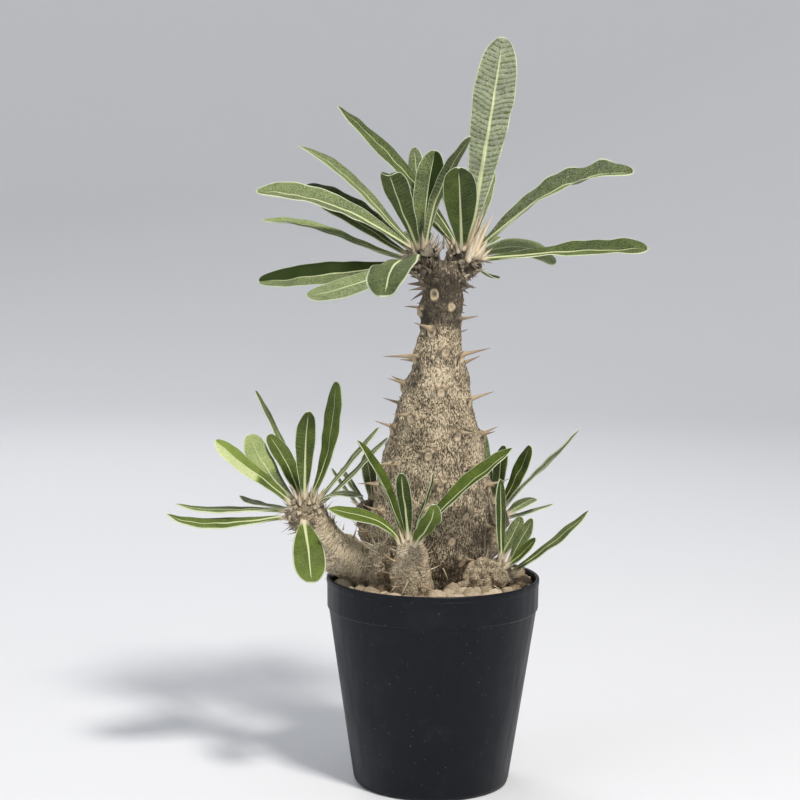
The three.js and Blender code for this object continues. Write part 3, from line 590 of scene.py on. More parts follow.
def plastic_finish(settings):
    """Dull black plastic: faint moulding streaks, dust in specks and a faint grey bloom in broad patches."""
    paint = Finish("black_plastic", roughness=0.4, specular_ior_level=0.2)
    place = paint.place()
    upright = paint.place(scale=(1, 1, 0.06))
    streaks = paint.noise(upright, 4 * MM, detail=4)
    specks = paint.spread(paint.noise(place, 1.1 * MM, detail=1), 0.735, 0.78)
    bloom = paint.spread(paint.noise(place, 22 * MM, detail=5, roughness=0.65), 0.5, 0.85, 0, 0.06)
    dusty = paint.sum("ADD", bloom, paint.sum("MULTIPLY", specks, 0.5), clamp=True)
    colour = paint.blend(dusty, colour_of(settings.plastic), colour_of(settings.dust))
    gloss = paint.sum("ADD", paint.spread(streaks, 0.3, 0.7, 0.36, 0.5), paint.sum("MULTIPLY", dusty, 0.4))
    grain = paint.relief(paint.noise(place, 0.5 * MM), 0.03 * MM)
    return paint.finish(
        base_color=colour, roughness=gloss, normal=paint.relief(streaks, 0.15 * MM, 0.5, grain))


class PLANT_OT_pot(bpy.types.Operator):
    """Makes the round black pot with its band, rim, foot ring and drain holes"""

    bl_idname = "plant.pot"
    bl_label = "Pot"

    def execute(self, context):
        settings = context.scene.plant_pot
        height, rim, band_foot, wall_at = pot_sizes(settings)
        wall = settings.wall / MM
        floor = POT_FOOT_LIFT + wall
        inner_corner = POT_FOOT_RADIUS - POT_CORNER
        corners = [
            (0.01, 0, 0), (POT_HUB_RADIUS, 0, 0.6), (POT_HUB_RADIUS + 1, POT_FOOT_LIFT, 0.6),
            (inner_corner - 3, POT_FOOT_LIFT, 0.6), (inner_corner - 2, 0, 0.6),
            (wall_at(0) - 0.2, 0, 2.6), (wall_at(band_foot / 2), band_foot / 2, 0),
            (wall_at(band_foot), band_foot - 0.7, 0.4), (rim - 0.45, band_foot, 0.35),
            (rim - 0.3, height - 3.2, 0.6), (rim, height - 2.6, 0.3), (rim, height - 0.1, 0.8),
            (rim - 1.7, height - 0.1, 0.8), (rim - 1.9, height - 3, 0.5),
            (rim - 0.4 - wall, band_foot + 1, 0.5), (wall_at(band_foot) - wall, band_foot - 1, 0.5),
            (wall_at(floor) - wall, floor, 2), (0.01, floor, 0),
        ]
        profile = rounded([corner[:2] for corner in corners], [corner[2] for corner in corners])
        profile = profile[np.r_[True, np.linalg.norm(np.diff(profile, axis=0), axis=1) > 1e-6]]
        rings = turned(profile, POT_COLUMNS)
        piece = make_shells(
            "pot_shell", rings[None], plastic_finish(settings), nodes=["pot"])
        turns = np.radians(360 / DRAIN_COUNT) * (np.arange(DRAIN_COUNT) + 0.5)
        drill = turned(np.array([(DRAIN_RADIUS, -2.0), (DRAIN_RADIUS, 2.0 * floor)]), 32)
        centres = DRAIN_CIRCLE * np.stack([np.cos(turns), np.sin(turns), 0 * turns], -1)
        drills = drill[None] + centres[:, None, None]
        cutter = make_shells("pot_drills", drills, piece.data.materials[0])
        cut = piece.modifiers.new("drain holes", "BOOLEAN")
        cut.object, cut.operation, cut.solver = cutter, "DIFFERENCE", "EXACT"
        context.view_layer.update()
        whole = bpy.data.meshes.new_from_object(piece.evaluated_get(context.evaluated_depsgraph_get()))
        piece.modifiers.clear()
        piece.data = whole
        bpy.data.objects.remove(cutter)
        return {"FINISHED"}


SOIL_LEVEL = 97.0
GRANULE_PLACES = 190
FINE_GRANULE_PLACES = 420
HEAP_CENTRE = (40, 4)
HEAP_RADIUS = 22
HEAP_HEIGHT = 4.5


def inside_stem(points, margin):
    """Whether points, seen from above, lie within the trunk or a limb that leaves the soil."""
    inside = np.hypot(points[:, 0] + 1, points[:, 1] - 8) < 24 + margin
    for name in ("left", "front", "right", "knob", "rear_right", "rear_left"):
        line = through(np.arange(len(LIMBS[name])), LIMBS[name], np.linspace(0, len(LIMBS[name]) - 1, 40))
        sunk = line[line[:, 2] - line[:, 3] < SOIL_LEVEL + 2]
        gap = np.linalg.norm(points[:, None, :2] - sunk[None, :, :2], axis=-1)
        reach = np.sqrt(np.maximum(sunk[:, 3] ** 2 - (sunk[:, 2] - SOIL_LEVEL) ** 2, 0))
        inside |= (gap < reach[None] + margin).any(1)
    return inside


def granule_finish(settings):
    """Porous baked clay and pumice: its own lightness for each granule, and pits that make it darker and
    lighter in spots.
    """
    paint = Finish("granules", roughness=0.95, specular_ior_level=0.2)
    place = paint.place()
    lightness = paint.attribute("lightness")
    pits = paint.noise(place, 0.9 * MM, detail=4, roughness=0.7)
    share = paint.sum("ADD", lightness, paint.spread(pits, 0.3, 0.7, -0.25, 0.25), clamp=True)
    colour = paint.blend(share, colour_of(settings.dark), colour_of(settings.light))
    return paint.finish(base_color=colour, normal=paint.relief(pits, 0.5 * MM))


def fines_finish(settings):
    """Dark damp crumbs between the granules."""
    paint = Finish("soil_fines", roughness=1.0, specular_ior_level=0.15)
    crumbs = paint.noise(paint.place(), 1.2 * MM, detail=5, roughness=0.7)
    colour = paint.blend(
        paint.spread(crumbs, 0.55, 0.85), colour_of(settings.fines), colour_of(settings.dark))
    return paint.finish(base_color=colour, normal=paint.relief(crumbs, 0.8 * MM))


def lump_template(subdivisions):
    """Points and faces of a ball of triangles."""
    ball = bmesh.new()
    bmesh.ops.create_icosphere(ball, subdivisions=subdivisions, radius=1)
    points = np.array([corner.co for corner in ball.verts])
    faces = np.array([[corner.index for corner in face.verts] for face in ball.faces])
    ball.free()
    return points, faces


def lumps(centres, radii, squash, seed, subdivisions):
    """Points, faces and lightness of many rough pebbles.

    Each is a ball turned at random, drawn in along its three axes, with a smooth noise of its own on
    its radius, which gives it flats and hollows.
    """
    random = np.random.default_rng(seed)
    ball, faces = lump_template(subdivisions)
    count = len(centres)
    turn, _ = np.linalg.qr(random.normal(size=(count, 3, 3)))
    turn *= np.sign(np.linalg.det(turn))[:, None, None]
    shifts = random.uniform(-50, 50, (count, 1, 3))
    rough = 1 + 0.11 * waves(ball[None] + shifts, 1.5, seed)
    rough += 0.05 * waves(ball[None] + shifts, 0.7, seed + 1)
    sizes = radii[:, None, None] * random.uniform(0.78, 1.12, (count, 1, 3))
    points = np.einsum("nij,nkj->nki", turn, ball[None] * rough[..., None] * sizes)
    points[..., 2] *= squash
    offsets = (np.arange(count) * len(ball))[:, None, None]
    lightness = np.repeat(random.beta(1.6, 1.6, count), len(ball))
    return (points + centres[:, None]).reshape(-1, 3), (faces[None] + offsets).reshape(-1, 3), lightness


class PLANT_OT_soil(bpy.types.Operator):
    """Makes the bed of dark fines and the granules that lie on it"""

    bl_idname = "plant.soil"
    bl_label = "Soil"

    def execute(self, context):
        settings = context.scene.plant_soil
        _, rim, band_foot, wall_at = pot_sizes(context.scene.plant_pot)
        wall = context.scene.plant_pot.wall / MM
        floor = POT_FOOT_LIFT + wall + 0.3
        edge = wall_at(band_foot) - wall - 0.4
        reach = edge * np.linspace(1, 0.01, 60)
        side = np.array([(0.01, floor), (wall_at(floor) - wall - 0.6, floor), (edge, band_foot - 2)])
        top = np.stack([reach, 0 * reach + SOIL_LEVEL], -1)
        rings = turned(np.concatenate([side, top]), 160)
        crumbs = 0.9 * waves(rings, 7, 21) + 0.35 * waves(rings, 2.2, 22)
        rings[..., 2] += np.where(rings[..., 2] > SOIL_LEVEL - 1, crumbs - 0.8, 0)
        make_shells("soil_bed", rings[None], fines_finish(settings), nodes=["soil"])

        random = np.random.default_rng(33)
        for name, places, scale, faces, lift in (
            ("granules", GRANULE_PLACES, 1.0, 2, 0.9), ("granules_fine", FINE_GRANULE_PLACES, 0.4, 1, -0.3),
        ):
            radii = settings.granule / MM * scale * random.uniform(0.62, 1.3, places)
            order = (np.arange(places) + 0.5) / places
            spread = (rim - 2.2 - radii) * np.sqrt(order)
            turns = GOLDEN_TURN * np.arange(places) + random.uniform(-0.05, 0.05, places)
            centres = np.stack([spread * np.cos(turns), spread * np.sin(turns), 0 * turns], -1)
            hill = np.linalg.norm(centres[:, :2] - HEAP_CENTRE, axis=1) / HEAP_RADIUS
            centres[:, 2] = SOIL_LEVEL + lift * random.uniform(0, 1, places)
            centres[:, 2] += HEAP_HEIGHT * np.exp(-(hill**2))
            kept = ~inside_stem(centres, 0.3 * settings.granule / MM)
            points, triangles, lightness = lumps(centres[kept], radii[kept], 0.86, 44 + faces, faces)
            lightness = lightness * scale**0.5
            make_piece(
                name, points, [triangles], granule_finish(settings), {"lightness": lightness})
        return {"FINISHED"}


def all_scars():
    """Turns in degrees, heights, spine lengths and ring marks of the scars, front and back."""
    front = np.array(SCARS, float)
    back = front[np.abs(front[:, 0]) < SCAR_BACK_REACH].copy()
    back[:, 0] += 180
    back[:, 1] -= SCAR_BACK_DROP
    back[:, 2:4] = 9
    return np.concatenate([front, back])


def trunk_at(height):
    """The trunk's axis point and radius at heights."""
    rows = through(TRUNK[:, 0], TRUNK[:, 1:], np.asarray(height, float))
    return np.stack([rows[:, 1], rows[:, 2], height + 0 * rows[:, 0]], -1), rows[:, 0]


TRUNK_TOP = 258
TRUNK_ROWS = 290
TRUNK_COLUMNS = 330
# How much the grain is drawn out upright, as a share of its length across
UPRIGHT_DRAW = 0.42
SCAR_RADIUS = 2.0
MOUND_REACH = 3.4
# A mound is at its full height where the trunk is at least this thick
FULL_MOUND_RADIUS = 20
# Where the two small mounds under a scar's spines stand beside and above it, and how wide they are
SPINE_MOUND_SIDE = 1.6
SPINE_MOUND_RISE = 2.3
SPINE_MOUND_RADIUS = 1.5


def trunk_surface(settings):
    """The bark of the trunk over turn and height.

    Its radius is a smooth curve through the trunk's rows. Each scar adds a mound (a Gaussian of the
    distance from it), two smaller ones above where its spines stand, a weak ridge below, a raised ring
    and a hollow in it. Waves of 14, 5 and 1.6 mm add lumps and grain that is stretched upright.
    """
    height = np.linspace(TRUNK[0, 0], TRUNK_TOP, TRUNK_ROWS)
    turn = np.linspace(-np.pi, np.pi, TRUNK_COLUMNS, endpoint=False)
    centre, radius = trunk_at(np.minimum(height, TRUNK[-1, 0]))
    outward = np.stack([np.sin(turn), -np.cos(turn), 0 * turn], -1)
    bare = centre[:, None] + radius[:, None, None] * outward[None]
    bare[..., 2] = height[:, None]
    rise, scar, hollow = np.zeros(bare.shape[:2]), np.zeros(bare.shape[:2]), np.zeros(bare.shape[:2])
    mounds = settings.mound_height / MM * np.minimum(1, radius / FULL_MOUND_RADIUS)[:, None]
    for scar_turn, scar_height, left_spine, right_spine, ringed in all_scars():
        horned = left_spine + right_spine > 0
        round_gap = (turn - np.radians(scar_turn) + np.pi) % (2 * np.pi) - np.pi
        x = round_gap[None] * radius[:, None]
        z = height[:, None] - scar_height
        gap = np.hypot(x, 0.85 * z)
        pair = np.hypot(np.abs(x) - SPINE_MOUND_SIDE, z - SPINE_MOUND_RISE)
        swell = 1.0 if ringed else 0.72
        rise += mounds * (1 if horned else 0.4) * np.exp(-(np.hypot(x, z - 0.8) / MOUND_REACH) ** 2)
        rise += 0.8 * mounds * np.exp(-((pair / SPINE_MOUND_RADIUS) ** 2)) * horned
        rise += 0.35 * np.exp(-(x / 2.2) ** 2 - ((z + 6) / 5) ** 2)
        rise += 0.4 * np.exp(-((gap - SCAR_RADIUS * swell) / 0.45) ** 2)
        rise -= 0.5 * np.exp(-((gap / (0.9 * swell)) ** 2))
        scar = np.maximum(scar, 1 - ease(SCAR_RADIUS * swell, SCAR_RADIUS * swell + 0.9, gap))
        scar = np.maximum(scar, 0.6 * np.exp(-((pair / 1.1) ** 2)) * horned)
        rim = 0.9 * np.exp(-(((gap - 1.4 * SCAR_RADIUS * swell) / 0.55) ** 2)) * ease(-2.2, 0, z)
        dent = np.exp(-((gap / (1.4 * swell)) ** 4)) * (0.9 if ringed else 0.35)
        hollow = np.maximum(hollow, np.maximum(rim, dent))
    stretched = bare * [1, 1, UPRIGHT_DRAW]
    grain = settings.grain_height / MM * waves(stretched, 1.5, 5)
    rise += 0.45 * waves(bare, 15, 3) + 0.22 * waves(bare, 5.5, 4) + grain
    # The shade field: a random mottle of the bark's own colour, with the patches of painted shade added to it
    shade = 0.16 * waves(bare, 16, 8) + 0.1 * waves(bare, 5, 9)
    for patch_turn, patch_height, wide, tall, amount in SHADE_PATCHES:
        round_gap = (turn - np.radians(patch_turn) + np.pi) % (2 * np.pi) - np.pi
        x = round_gap[None] * radius[:, None] / wide
        z = (height[:, None] - patch_height) / tall
        shade = shade + amount * np.exp(-(x**2) - z**2)
    points = bare + rise[..., None] * outward[None]
    return points, {"scar": scar, "hollow": hollow, "shade": shade}


# Sizes of the bark's flecks and patches, and of the wrinkles on a limb: their spacing, and by how many
# spacings they wander
FLECK_SIZE = 0.72
FINE_FLECK_SIZE = 0.42
BARK_PATCH_SIZE = 9
WRINKLE_SPACING = 1.4
WRINKLE_WANDER = 2.2


def bark_finish(name, settings, limb=False):
    """Corky bark: dark and light flecks drawn out along the growth, pale scars and dark hollows. A
    limb's has softer flecks, and thin dark wrinkles that wander round it."""
    paint = Finish(name, roughness=0.95, specular_ior_level=0.15)
    place = paint.place()
    drawn = paint.place((1, 1, 1), "straight") if limb else paint.place((1, 1, UPRIGHT_DRAW))
    flecks = paint.noise(drawn, FLECK_SIZE * MM, detail=3, roughness=0.6)
    fine = paint.noise(drawn, FINE_FLECK_SIZE * MM, detail=2)
    patches = paint.noise(place, BARK_PATCH_SIZE * MM, detail=4)
    shade = paint.attribute("shade")
    level = paint.sum("ADD", flecks, paint.spread(fine, 0.3, 0.7, -0.13, 0.13))
    level = paint.sum("ADD", level, paint.spread(patches, 0.3, 0.7, -0.065, 0.065))
    # Painted shade and painted sunlight in the shade field move the level of the flecks
    level = paint.sum("MULTIPLY_ADD", shade, -0.11, level)
    soft = 0.08 if limb else 0.0
    low = paint.blend(
        paint.spread(level, 0.33 - soft, 0.5), colour_of(settings.dark), colour_of(settings.middle))
    colour = paint.blend(paint.spread(level, 0.48, 0.66 + soft), low, colour_of(settings.light))
    # Painted shade: where the shade field is high the bark is blended towards its dark colour
    colour = paint.blend(paint.spread(shade, 0.2, 1.5, 0, 0.8), colour, colour_of(settings.dark))
    height = flecks
    if limb:
        wander = paint.noise(place, 5 * WRINKLE_SPACING * MM, detail=2)
        wander = paint.spread(wander, 0, 1, -WRINKLE_WANDER, WRINKLE_WANDER)
        way = paint.add("SeparateXYZ", {"Vector": drawn}).outputs["X"]
        phase = paint.sum("MULTIPLY_ADD", way, 1 / (WRINKLE_SPACING * MM), wander)
        groove = paint.spread(paint.sum("COSINE", paint.sum("MULTIPLY", phase, 2 * math.pi)), 0.45, 1.0)
        groove = paint.sum("MULTIPLY", groove, paint.spread(patches, 0.4, 0.6, 0.2, 0.65))
        colour = paint.blend(groove, colour, colour_of(settings.dark))
        height = paint.sum("MULTIPLY_ADD", groove, -0.6, flecks)
    colour = paint.blend(
        paint.sum("MULTIPLY", paint.attribute("scar"), 0.85), colour, colour_of(settings.scar))
    colour = paint.blend(
        paint.sum("MULTIPLY", paint.attribute("hollow"), 0.85), colour, colour_of(settings.dark))
    under = paint.relief(height, 0.6 * MM)
    return paint.finish(base_color=colour, normal=paint.relief(fine, 0.25 * MM, 0.8, under))


class PLANT_OT_trunk(bpy.types.Operator):
    """Makes the swollen trunk with its scars"""

    bl_idname = "plant.trunk"
    bl_label = "Trunk"

    def execute(self, context):
        settings = context.scene.plant_bark
        points, fields = trunk_surface(settings)
        fields = {key: values[None] for key, values in fields.items()}
        make_shells("trunk_bark", points[None], bark_finish("trunk_bark", settings), fields, ["stem"])
        return {"FINISHED"}


LIMB_STEP = 0.55
LIMB_COLUMNS = 120
DOME_STEPS = 18
SKIN_SINK = 0.8
# Knobs of old leaf feet near a head: how many, the way down from one to the next, their radius and that
# of the hollow in each, and their height
KNOBS = 14
KNOB_STEP = 0.95
KNOB_RADIUS = 1.9
KNOB_HOLLOW_RADIUS = 0.75
KNOB_HEIGHT = 0.95


def limb_line(name):
    """Points, radii and axes along a limb and up over its dome, and the way along it.

    The limb is a smooth curve through its rows. Over the dome the ring's radius shrinks as the cosine
    of an angle while its centre moves on by the sine of it.
    """
    rows = LIMBS[name]
    length = np.linalg.norm(np.diff(rows[:, :3], axis=0), axis=1).sum()
    along = np.linspace(0, len(rows) - 1, int(length / LIMB_STEP))
    line = through(np.arange(len(rows)), rows, along)
    axis = unit(np.gradient(line[:, :3], axis=0))
    angle = np.linspace(0, np.pi / 2, DOME_STEPS)[1:-1]
    head, head_axis, head_radius = line[-1, :3], axis[-1], line[-1, 3]
    dome = head + head_radius * np.sin(angle)[:, None] * head_axis
    centre = np.concatenate([line[:, :3], dome])
    radius = np.concatenate([line[:, 3], head_radius * np.cos(angle)])
    axis = np.concatenate([axis, np.repeat(head_axis[None], len(angle), 0)])
    way = np.concatenate([length * along / along[-1], length + head_radius * angle])
    return centre, radius, axis, way


def limb_surface(name, seed):
    """The bark of a limb over the way along it and the angle round it.

    The radius gets lumps, fine grain, rings of cross wrinkles (waves that are short along the limb and
    long round it) and knobs of old leaf feet near the head, in golden turns.
    """
    skin = LIMB_SKIN[name]
    centre, radius, axis, way = limb_line(name)
    head_radius = LIMBS[name][-1, 3]
    across = unit(np.cross([0, 1, 0], axis))
    over = np.cross(axis, across)
    angle = np.linspace(0, 2 * np.pi, LIMB_COLUMNS, endpoint=False)
    outward = np.cos(angle)[:, None] * across[:, None] + np.sin(angle)[:, None] * over[:, None]
    bare = centre[:, None] + radius[:, None, None] * outward
    straight = np.stack(
        [way[:, None] + 0 * angle, radius[:, None] * np.cos(angle), radius[:, None] * np.sin(angle)], -1)
    rise = skin["lump"] * 0.5 * waves(bare, 2.2 * skin["spacing"], seed)
    rise += skin["lump"] * 0.5 * waves(bare, skin["spacing"], seed + 1)
    rise += skin["wrinkle"] * waves(straight * [1, 0.22, 0.22], 1.5, seed + 2)
    rise += 0.1 * waves(bare, 1.3, seed + 3)
    knob, hollow = np.zeros(rise.shape), np.zeros(rise.shape)
    head_way = way[-1] - 1.35 * head_radius
    for k in range(KNOBS):
        x = ((angle - GOLDEN_TURN * k + np.pi) % (2 * np.pi) - np.pi)[None] * radius[:, None]
        gap = np.hypot(x, (way[:, None] - head_way + KNOB_STEP * k) * 0.9)
        knob = np.maximum(knob, np.exp(-((gap / KNOB_RADIUS) ** 2)))
        hollow = np.maximum(hollow, np.exp(-((gap / KNOB_HOLLOW_RADIUS) ** 2)))
    rise += KNOB_HEIGHT * knob - 0.5 * hollow - SKIN_SINK
    near_pole = np.clip(radius / head_radius, 0, 1)[:, None]
    points = bare + (rise * near_pole)[..., None] * outward
    # The shade field of a limb: lighter by its lightness column, which is partly painted sunlight, with a
    # random mottle, a browner head, and darker in the last 9 mm above the soil
    shade = 0.75 - 1.5 * skin["lightness_and_sunlight"] + 0.15 * waves(bare, 7, seed + 4) + 0 * rise
    to_head = ease(way[-1] - 2.4 * head_radius, way[-1] - 1.5 * head_radius, way)
    shade += 4 * skin["brown"] * to_head[:, None]
    low = 1 - ease(SOIL_LEVEL, SOIL_LEVEL + 9, bare[..., 2])
    fields = {"scar": 0.5 * knob, "hollow": hollow, "shade": shade + 0.5 * low}
    return points, fields, straight * MM


class PLANT_OT_limbs(bpy.types.Operator):
    """Makes the two crown heads, the five offsets and the bare knob"""

    bl_idname = "plant.limbs"
    bl_label = "Crown heads and offsets"

    def execute(self, context):
        settings = context.scene.plant_bark
        finish = bark_finish("limb_bark", settings, limb=True)
        for k, name in enumerate(LIMBS):
            points, fields, straight = limb_surface(name, 100 + 10 * k)
            fields = {key: values[None] for key, values in fields.items()} | {"straight": straight[None]}
            make_shells(name + "_bark", points[None], finish, fields)
        return {"FINISHED"}


def spine_finish(settings):
    """Woody spines: tan at the foot, darker and greyer at the tip, by their age and place."""
    paint = Finish("spines", roughness=0.6, specular_ior_level=0.4)
    streaks = paint.noise(paint.place(), 0.7 * MM, detail=3)
    along = paint.sum("ADD", paint.attribute("along"), paint.spread(streaks, 0.3, 0.7, -0.15, 0.15))
    share = paint.sum("ADD", along, paint.attribute("age"), clamp=True)
    colour = paint.blend(share, colour_of(settings.foot), colour_of(settings.tip))
    return paint.finish(base_color=colour, normal=paint.relief(streaks, 0.15 * MM))


def sheath_finish(settings):
    """Dry papery bud sheaths, bristles and hair."""
    paint = Finish("dry_sheaths", roughness=0.85, specular_ior_level=0.3)
    streaks = paint.noise(paint.place((1, 1, 0.25)), 0.8 * MM, detail=3)
    share = paint.sum("ADD", paint.attribute("age"), paint.spread(streaks, 0.3, 0.7, -0.12, 0.16), clamp=True)
    colour = paint.blend(share, colour_of(settings.sheath), colour_of(settings.tip))
    return paint.finish(base_color=colour, normal=paint.relief(streaks, 0.2 * MM))


# A trunk spine's splay and rise in degrees, and where its foot stands beside and above its scar
SPINE_SPLAY = 33
SPINE_RISE = 10
SPINE_SIDE = 1.5
SPINE_LIFT = 1.8
SPINE_ROWS = 14
SPINE_SIDES = 8


class PLANT_OT_spines(bpy.types.Operator):
    """Makes the paired spines above the scars and the dark ones round the neck"""

    bl_idname = "plant.spines"
    bl_label = "Trunk spines"

    def execute(self, context):
        settings = context.scene.plant_spines
        random = np.random.default_rng(61)
        scars = np.repeat(all_scars(), 2, 0)
        side = np.tile([-1.0, 1.0], len(scars) // 2)
        lengths = np.where(side < 0, scars[:, 2], scars[:, 3])
        kept = lengths > 0
        scars, side, lengths = scars[kept], side[kept], lengths[kept]
        outward = direction(scars[:, 0] - 90, 0)
        sideways = np.cross(UP, outward)
        centre, radius = trunk_at(scars[:, 1] + SPINE_LIFT)
        splay = np.radians(SPINE_SPLAY + random.uniform(-9, 9, len(scars)))[:, None]
        rise = np.radians(SPINE_RISE + random.uniform(-14, 14, len(scars)))[:, None]
        feet = centre + (radius + 0.3)[:, None] * outward + (SPINE_SIDE * side)[:, None] * sideways
        ways = unit(outward * np.cos(splay) + sideways * side[:, None] * np.sin(splay) + UP * np.sin(rise))
        bends = random.normal(0, 0.09, feet.shape) + UP * 0.05
        age = 0.45 * ease(205, 245, scars[:, 1]) + random.uniform(-0.25, 0.1, len(scars))

        neck = np.array(NECK_SPINES, float)
        neck_out = direction(neck[:, 0] - 90, 0)
        neck_centre, neck_radius = trunk_at(neck[:, 1])
        neck_feet = neck_centre + (neck_radius - 0.5)[:, None] * neck_out
        neck_ways = direction(neck[:, 0] - 90, neck[:, 2])
        neck_bends = random.normal(0, 0.08, neck_feet.shape)

        feet, ways = np.concatenate([feet, neck_feet]), np.concatenate([ways, neck_ways])
        bends, lengths = np.concatenate([bends, neck_bends]), np.concatenate([lengths, neck[:, 3]])
        age = np.concatenate([age, np.full(len(neck), 0.75)])
        radii = settings.spine_radius / MM * (0.75 + 0.03 * lengths)
        feet = feet - 1.2 * ways
        rings = spikes(feet, ways, bends, lengths + 1.2, radii, SPINE_ROWS, SPINE_SIDES, flare=1.3)
        along = np.linspace(-0.25, 0.8, SPINE_ROWS)[None, :, None]
        fields = {"along": along, "age": age[:, None, None]}
        make_shells("trunk_spines", rings, spine_finish(settings), fields)
        return {"FINISHED"}


# Stubs of old sheaths on the crown heads and the left head
STUBS = 70


def spans(table):
    """Feet, unit ways and lengths of what a table gives by its foot and tip."""
    ends = np.array(table, float)
    way = ends[:, 1] - ends[:, 0]
    return ends[:, 0], unit(way), np.linalg.norm(way, axis=1)


def limb_places(name, random, count, low, high):
    """Random points on a limb's skin between two shares of the way along it, with their ways out."""
    centre, radius, axis, way = limb_line(name)
    row = np.interp(random.uniform(low, high, count) * way[-1], way, np.arange(len(way))).astype(int)
    across = unit(np.cross([0, 1, 0], axis[row]))
    over = np.cross(axis[row], across)
    angle = random.uniform(0, 2 * np.pi, (count, 1))
    outward = np.cos(angle) * across + np.sin(angle) * over
    return centre[row] + radius[row][:, None] * outward, outward, axis[row]


class PLANT_OT_bristles(bpy.types.Operator):
    """Makes the bristles and hairs of the heads and offsets, and the dead stalks"""

    bl_idname = "plant.bristles"
    bl_label = "Bristles and hairs"

    def execute(self, context):
        settings = context.scene.plant_spines
        random = np.random.default_rng(71)
        groups = []
        for name, skin in LIMB_SKIN.items():
            crown = name.startswith("crown")
            for count, low, longest, thick in (
                (skin["bristles"], 0.45, 8.0, 1.0), (skin["hairs"], 0.62, 4.5, 0.5),
                (STUBS if crown or name == "left" else 0, 0.35 if crown else 0.75, 3.2, 3.0),
            ):
                feet, outward, axis = limb_places(name, random, count, low, 0.97)
                lean = random.uniform(0.2, 1.3, (count, 1))
                ways = unit(outward + lean * axis + random.normal(0, 0.3, feet.shape))
                bends = random.normal(0, 0.16, feet.shape) + [0, 0, 0.05]
                lengths = longest * random.uniform(0.45, 1.0, count)
                radii = settings.bristle_radius / MM * thick * random.uniform(0.8, 1.3, count)
                age = skin["brown"] + random.uniform(-0.25, 0.3, count)
                tips = feet + ways * lengths[:, None]
                kept = np.minimum(feet[:, 2], tips[:, 2]) > SOIL_LEVEL + 2
                groups.append([part[kept] for part in (feet - 0.4 * ways, ways, bends, lengths, radii, age)])
        feet, ways, bends, lengths, radii, age = (np.concatenate(parts) for parts in zip(*groups))
        rings = spikes(feet, ways, bends, lengths, radii, 6, 4, flare=0.8)
        fields = {"age": age[:, None, None]}
        make_shells("bristles", rings, sheath_finish(settings), fields)

        for name, table, radius, bend, age in (
            ("dry_stalks", DRY_STALKS, 0.6, 0.1, 0.3), ("curly_spines", CURLS, 0.55, 0.3, -0.75),
        ):
            feet, ways, lengths = spans(table)
            bends = random.normal(0, bend, ways.shape)
            radii = np.full(len(feet), radius)
            rings = spikes(feet - 1.5 * ways, ways, bends, lengths + 1.5, radii, 16, 7, flare=0.6)
            fields = {"along": np.full((1, 1, 1), 0.7), "age": np.full((1, 1, 1), age)}
            make_shells(name, rings, spine_finish(settings), fields)
        return {"FINISHED"}


# Dry bud sheaths round the heads: limb, turn and rise of the foot on the head, lean upwards, length,
# width and age from cream to brown
SHEATHS = [
    ("crown_right", -60, 30, 1.0, 18, 9.0, -0.1), ("crown_right", -25, 38, 1.3, 20, 8.0, -0.1),
    ("crown_right", -95, 55, 1.6, 12, 7.0, 0.05), ("crown_right", 20, 50, 1.3, 15, 6.0, 0.1),
    ("crown_right", -40, 66, 1.8, 18, 7.0, -0.1), ("crown_right", -75, 15, 0.9, 11, 8.0, 0.05),
    ("crown_right", -30, 12, 0.8, 11, 8.0, 0.05), ("crown_right", 60, 55, 1.3, 13, 6.0, 0.2),
    ("crown_right", -10, 62, 1.9, 19, 6.0, -0.1), ("crown_right", -120, 40, 1.4, 10, 6.0, 0.2),
    ("crown_right", 120, 60, 1.4, 13, 6.0, 0.2), ("crown_right", 160, 40, 1.1, 10, 6.0, 0.3),
    ("crown_right", -150, 20, 0.9, 8, 5.0, 0.3), ("crown_right", 0, 4, 0.6, 9, 6.0, 0.1),
    ("crown_left", -90, 60, 1.6, 10, 5.5, 0.35), ("crown_left", -50, 50, 1.4, 10, 5.0, 0.3),
    ("crown_left", -130, 30, 1.0, 8, 5.0, 0.45), ("crown_left", 10, 50, 1.4, 9, 5.0, 0.45),
    ("crown_left", 60, 60, 1.4, 10, 5.0, 0.4), ("crown_left", -70, 25, 0.8, 8, 6.0, 0.45),
    ("crown_left", 150, 50, 1.2, 9, 5.0, 0.5), ("crown_left", -20, 20, 0.9, 8, 5.0, 0.5),
    ("left", -110, 45, 1.1, 7, 4.5, 0.2), ("left", -40, 50, 1.1, 8, 4.5, 0.25),
    ("left", -75, 75, 1.5, 9, 4.5, 0.15), ("left", 30, 40, 1.1, 8, 4.5, 0.3),
    ("left", 140, 50, 1.0, 8, 4.5, 0.3), ("left", -150, 60, 1.2, 8, 4.5, 0.2),
    ("front", -90, 55, 1.2, 6, 4.5, 0.1), ("front", -40, 50, 1.2, 7, 4.0, 0.1),
    ("front", -150, 55, 1.2, 7, 4.0, 0.1), ("front", 60, 60, 1.3, 8, 4.0, 0.2),
    ("right", -60, 60, 1.2, 6, 3.5, 0.1), ("right", 10, 60, 1.2, 7, 3.5, 0.2),
]

# Long dark spines that stand out of the right crown head: foot and tip
CROWN_SPINES = [
    ((17, -5, 266), (23.5, -8, 283)), ((-3, -4, 266), (-1.5, -6, 273)), ((3, -2, 264), (4, -3, 274)),
    ((20, -6, 259), (27, -12, 257)), ((6, -6, 262), (7.5, -9, 268)), ((19, 4, 262), (27, 8, 268)),
]
CROWN_SPINE_RADIUS = 0.55


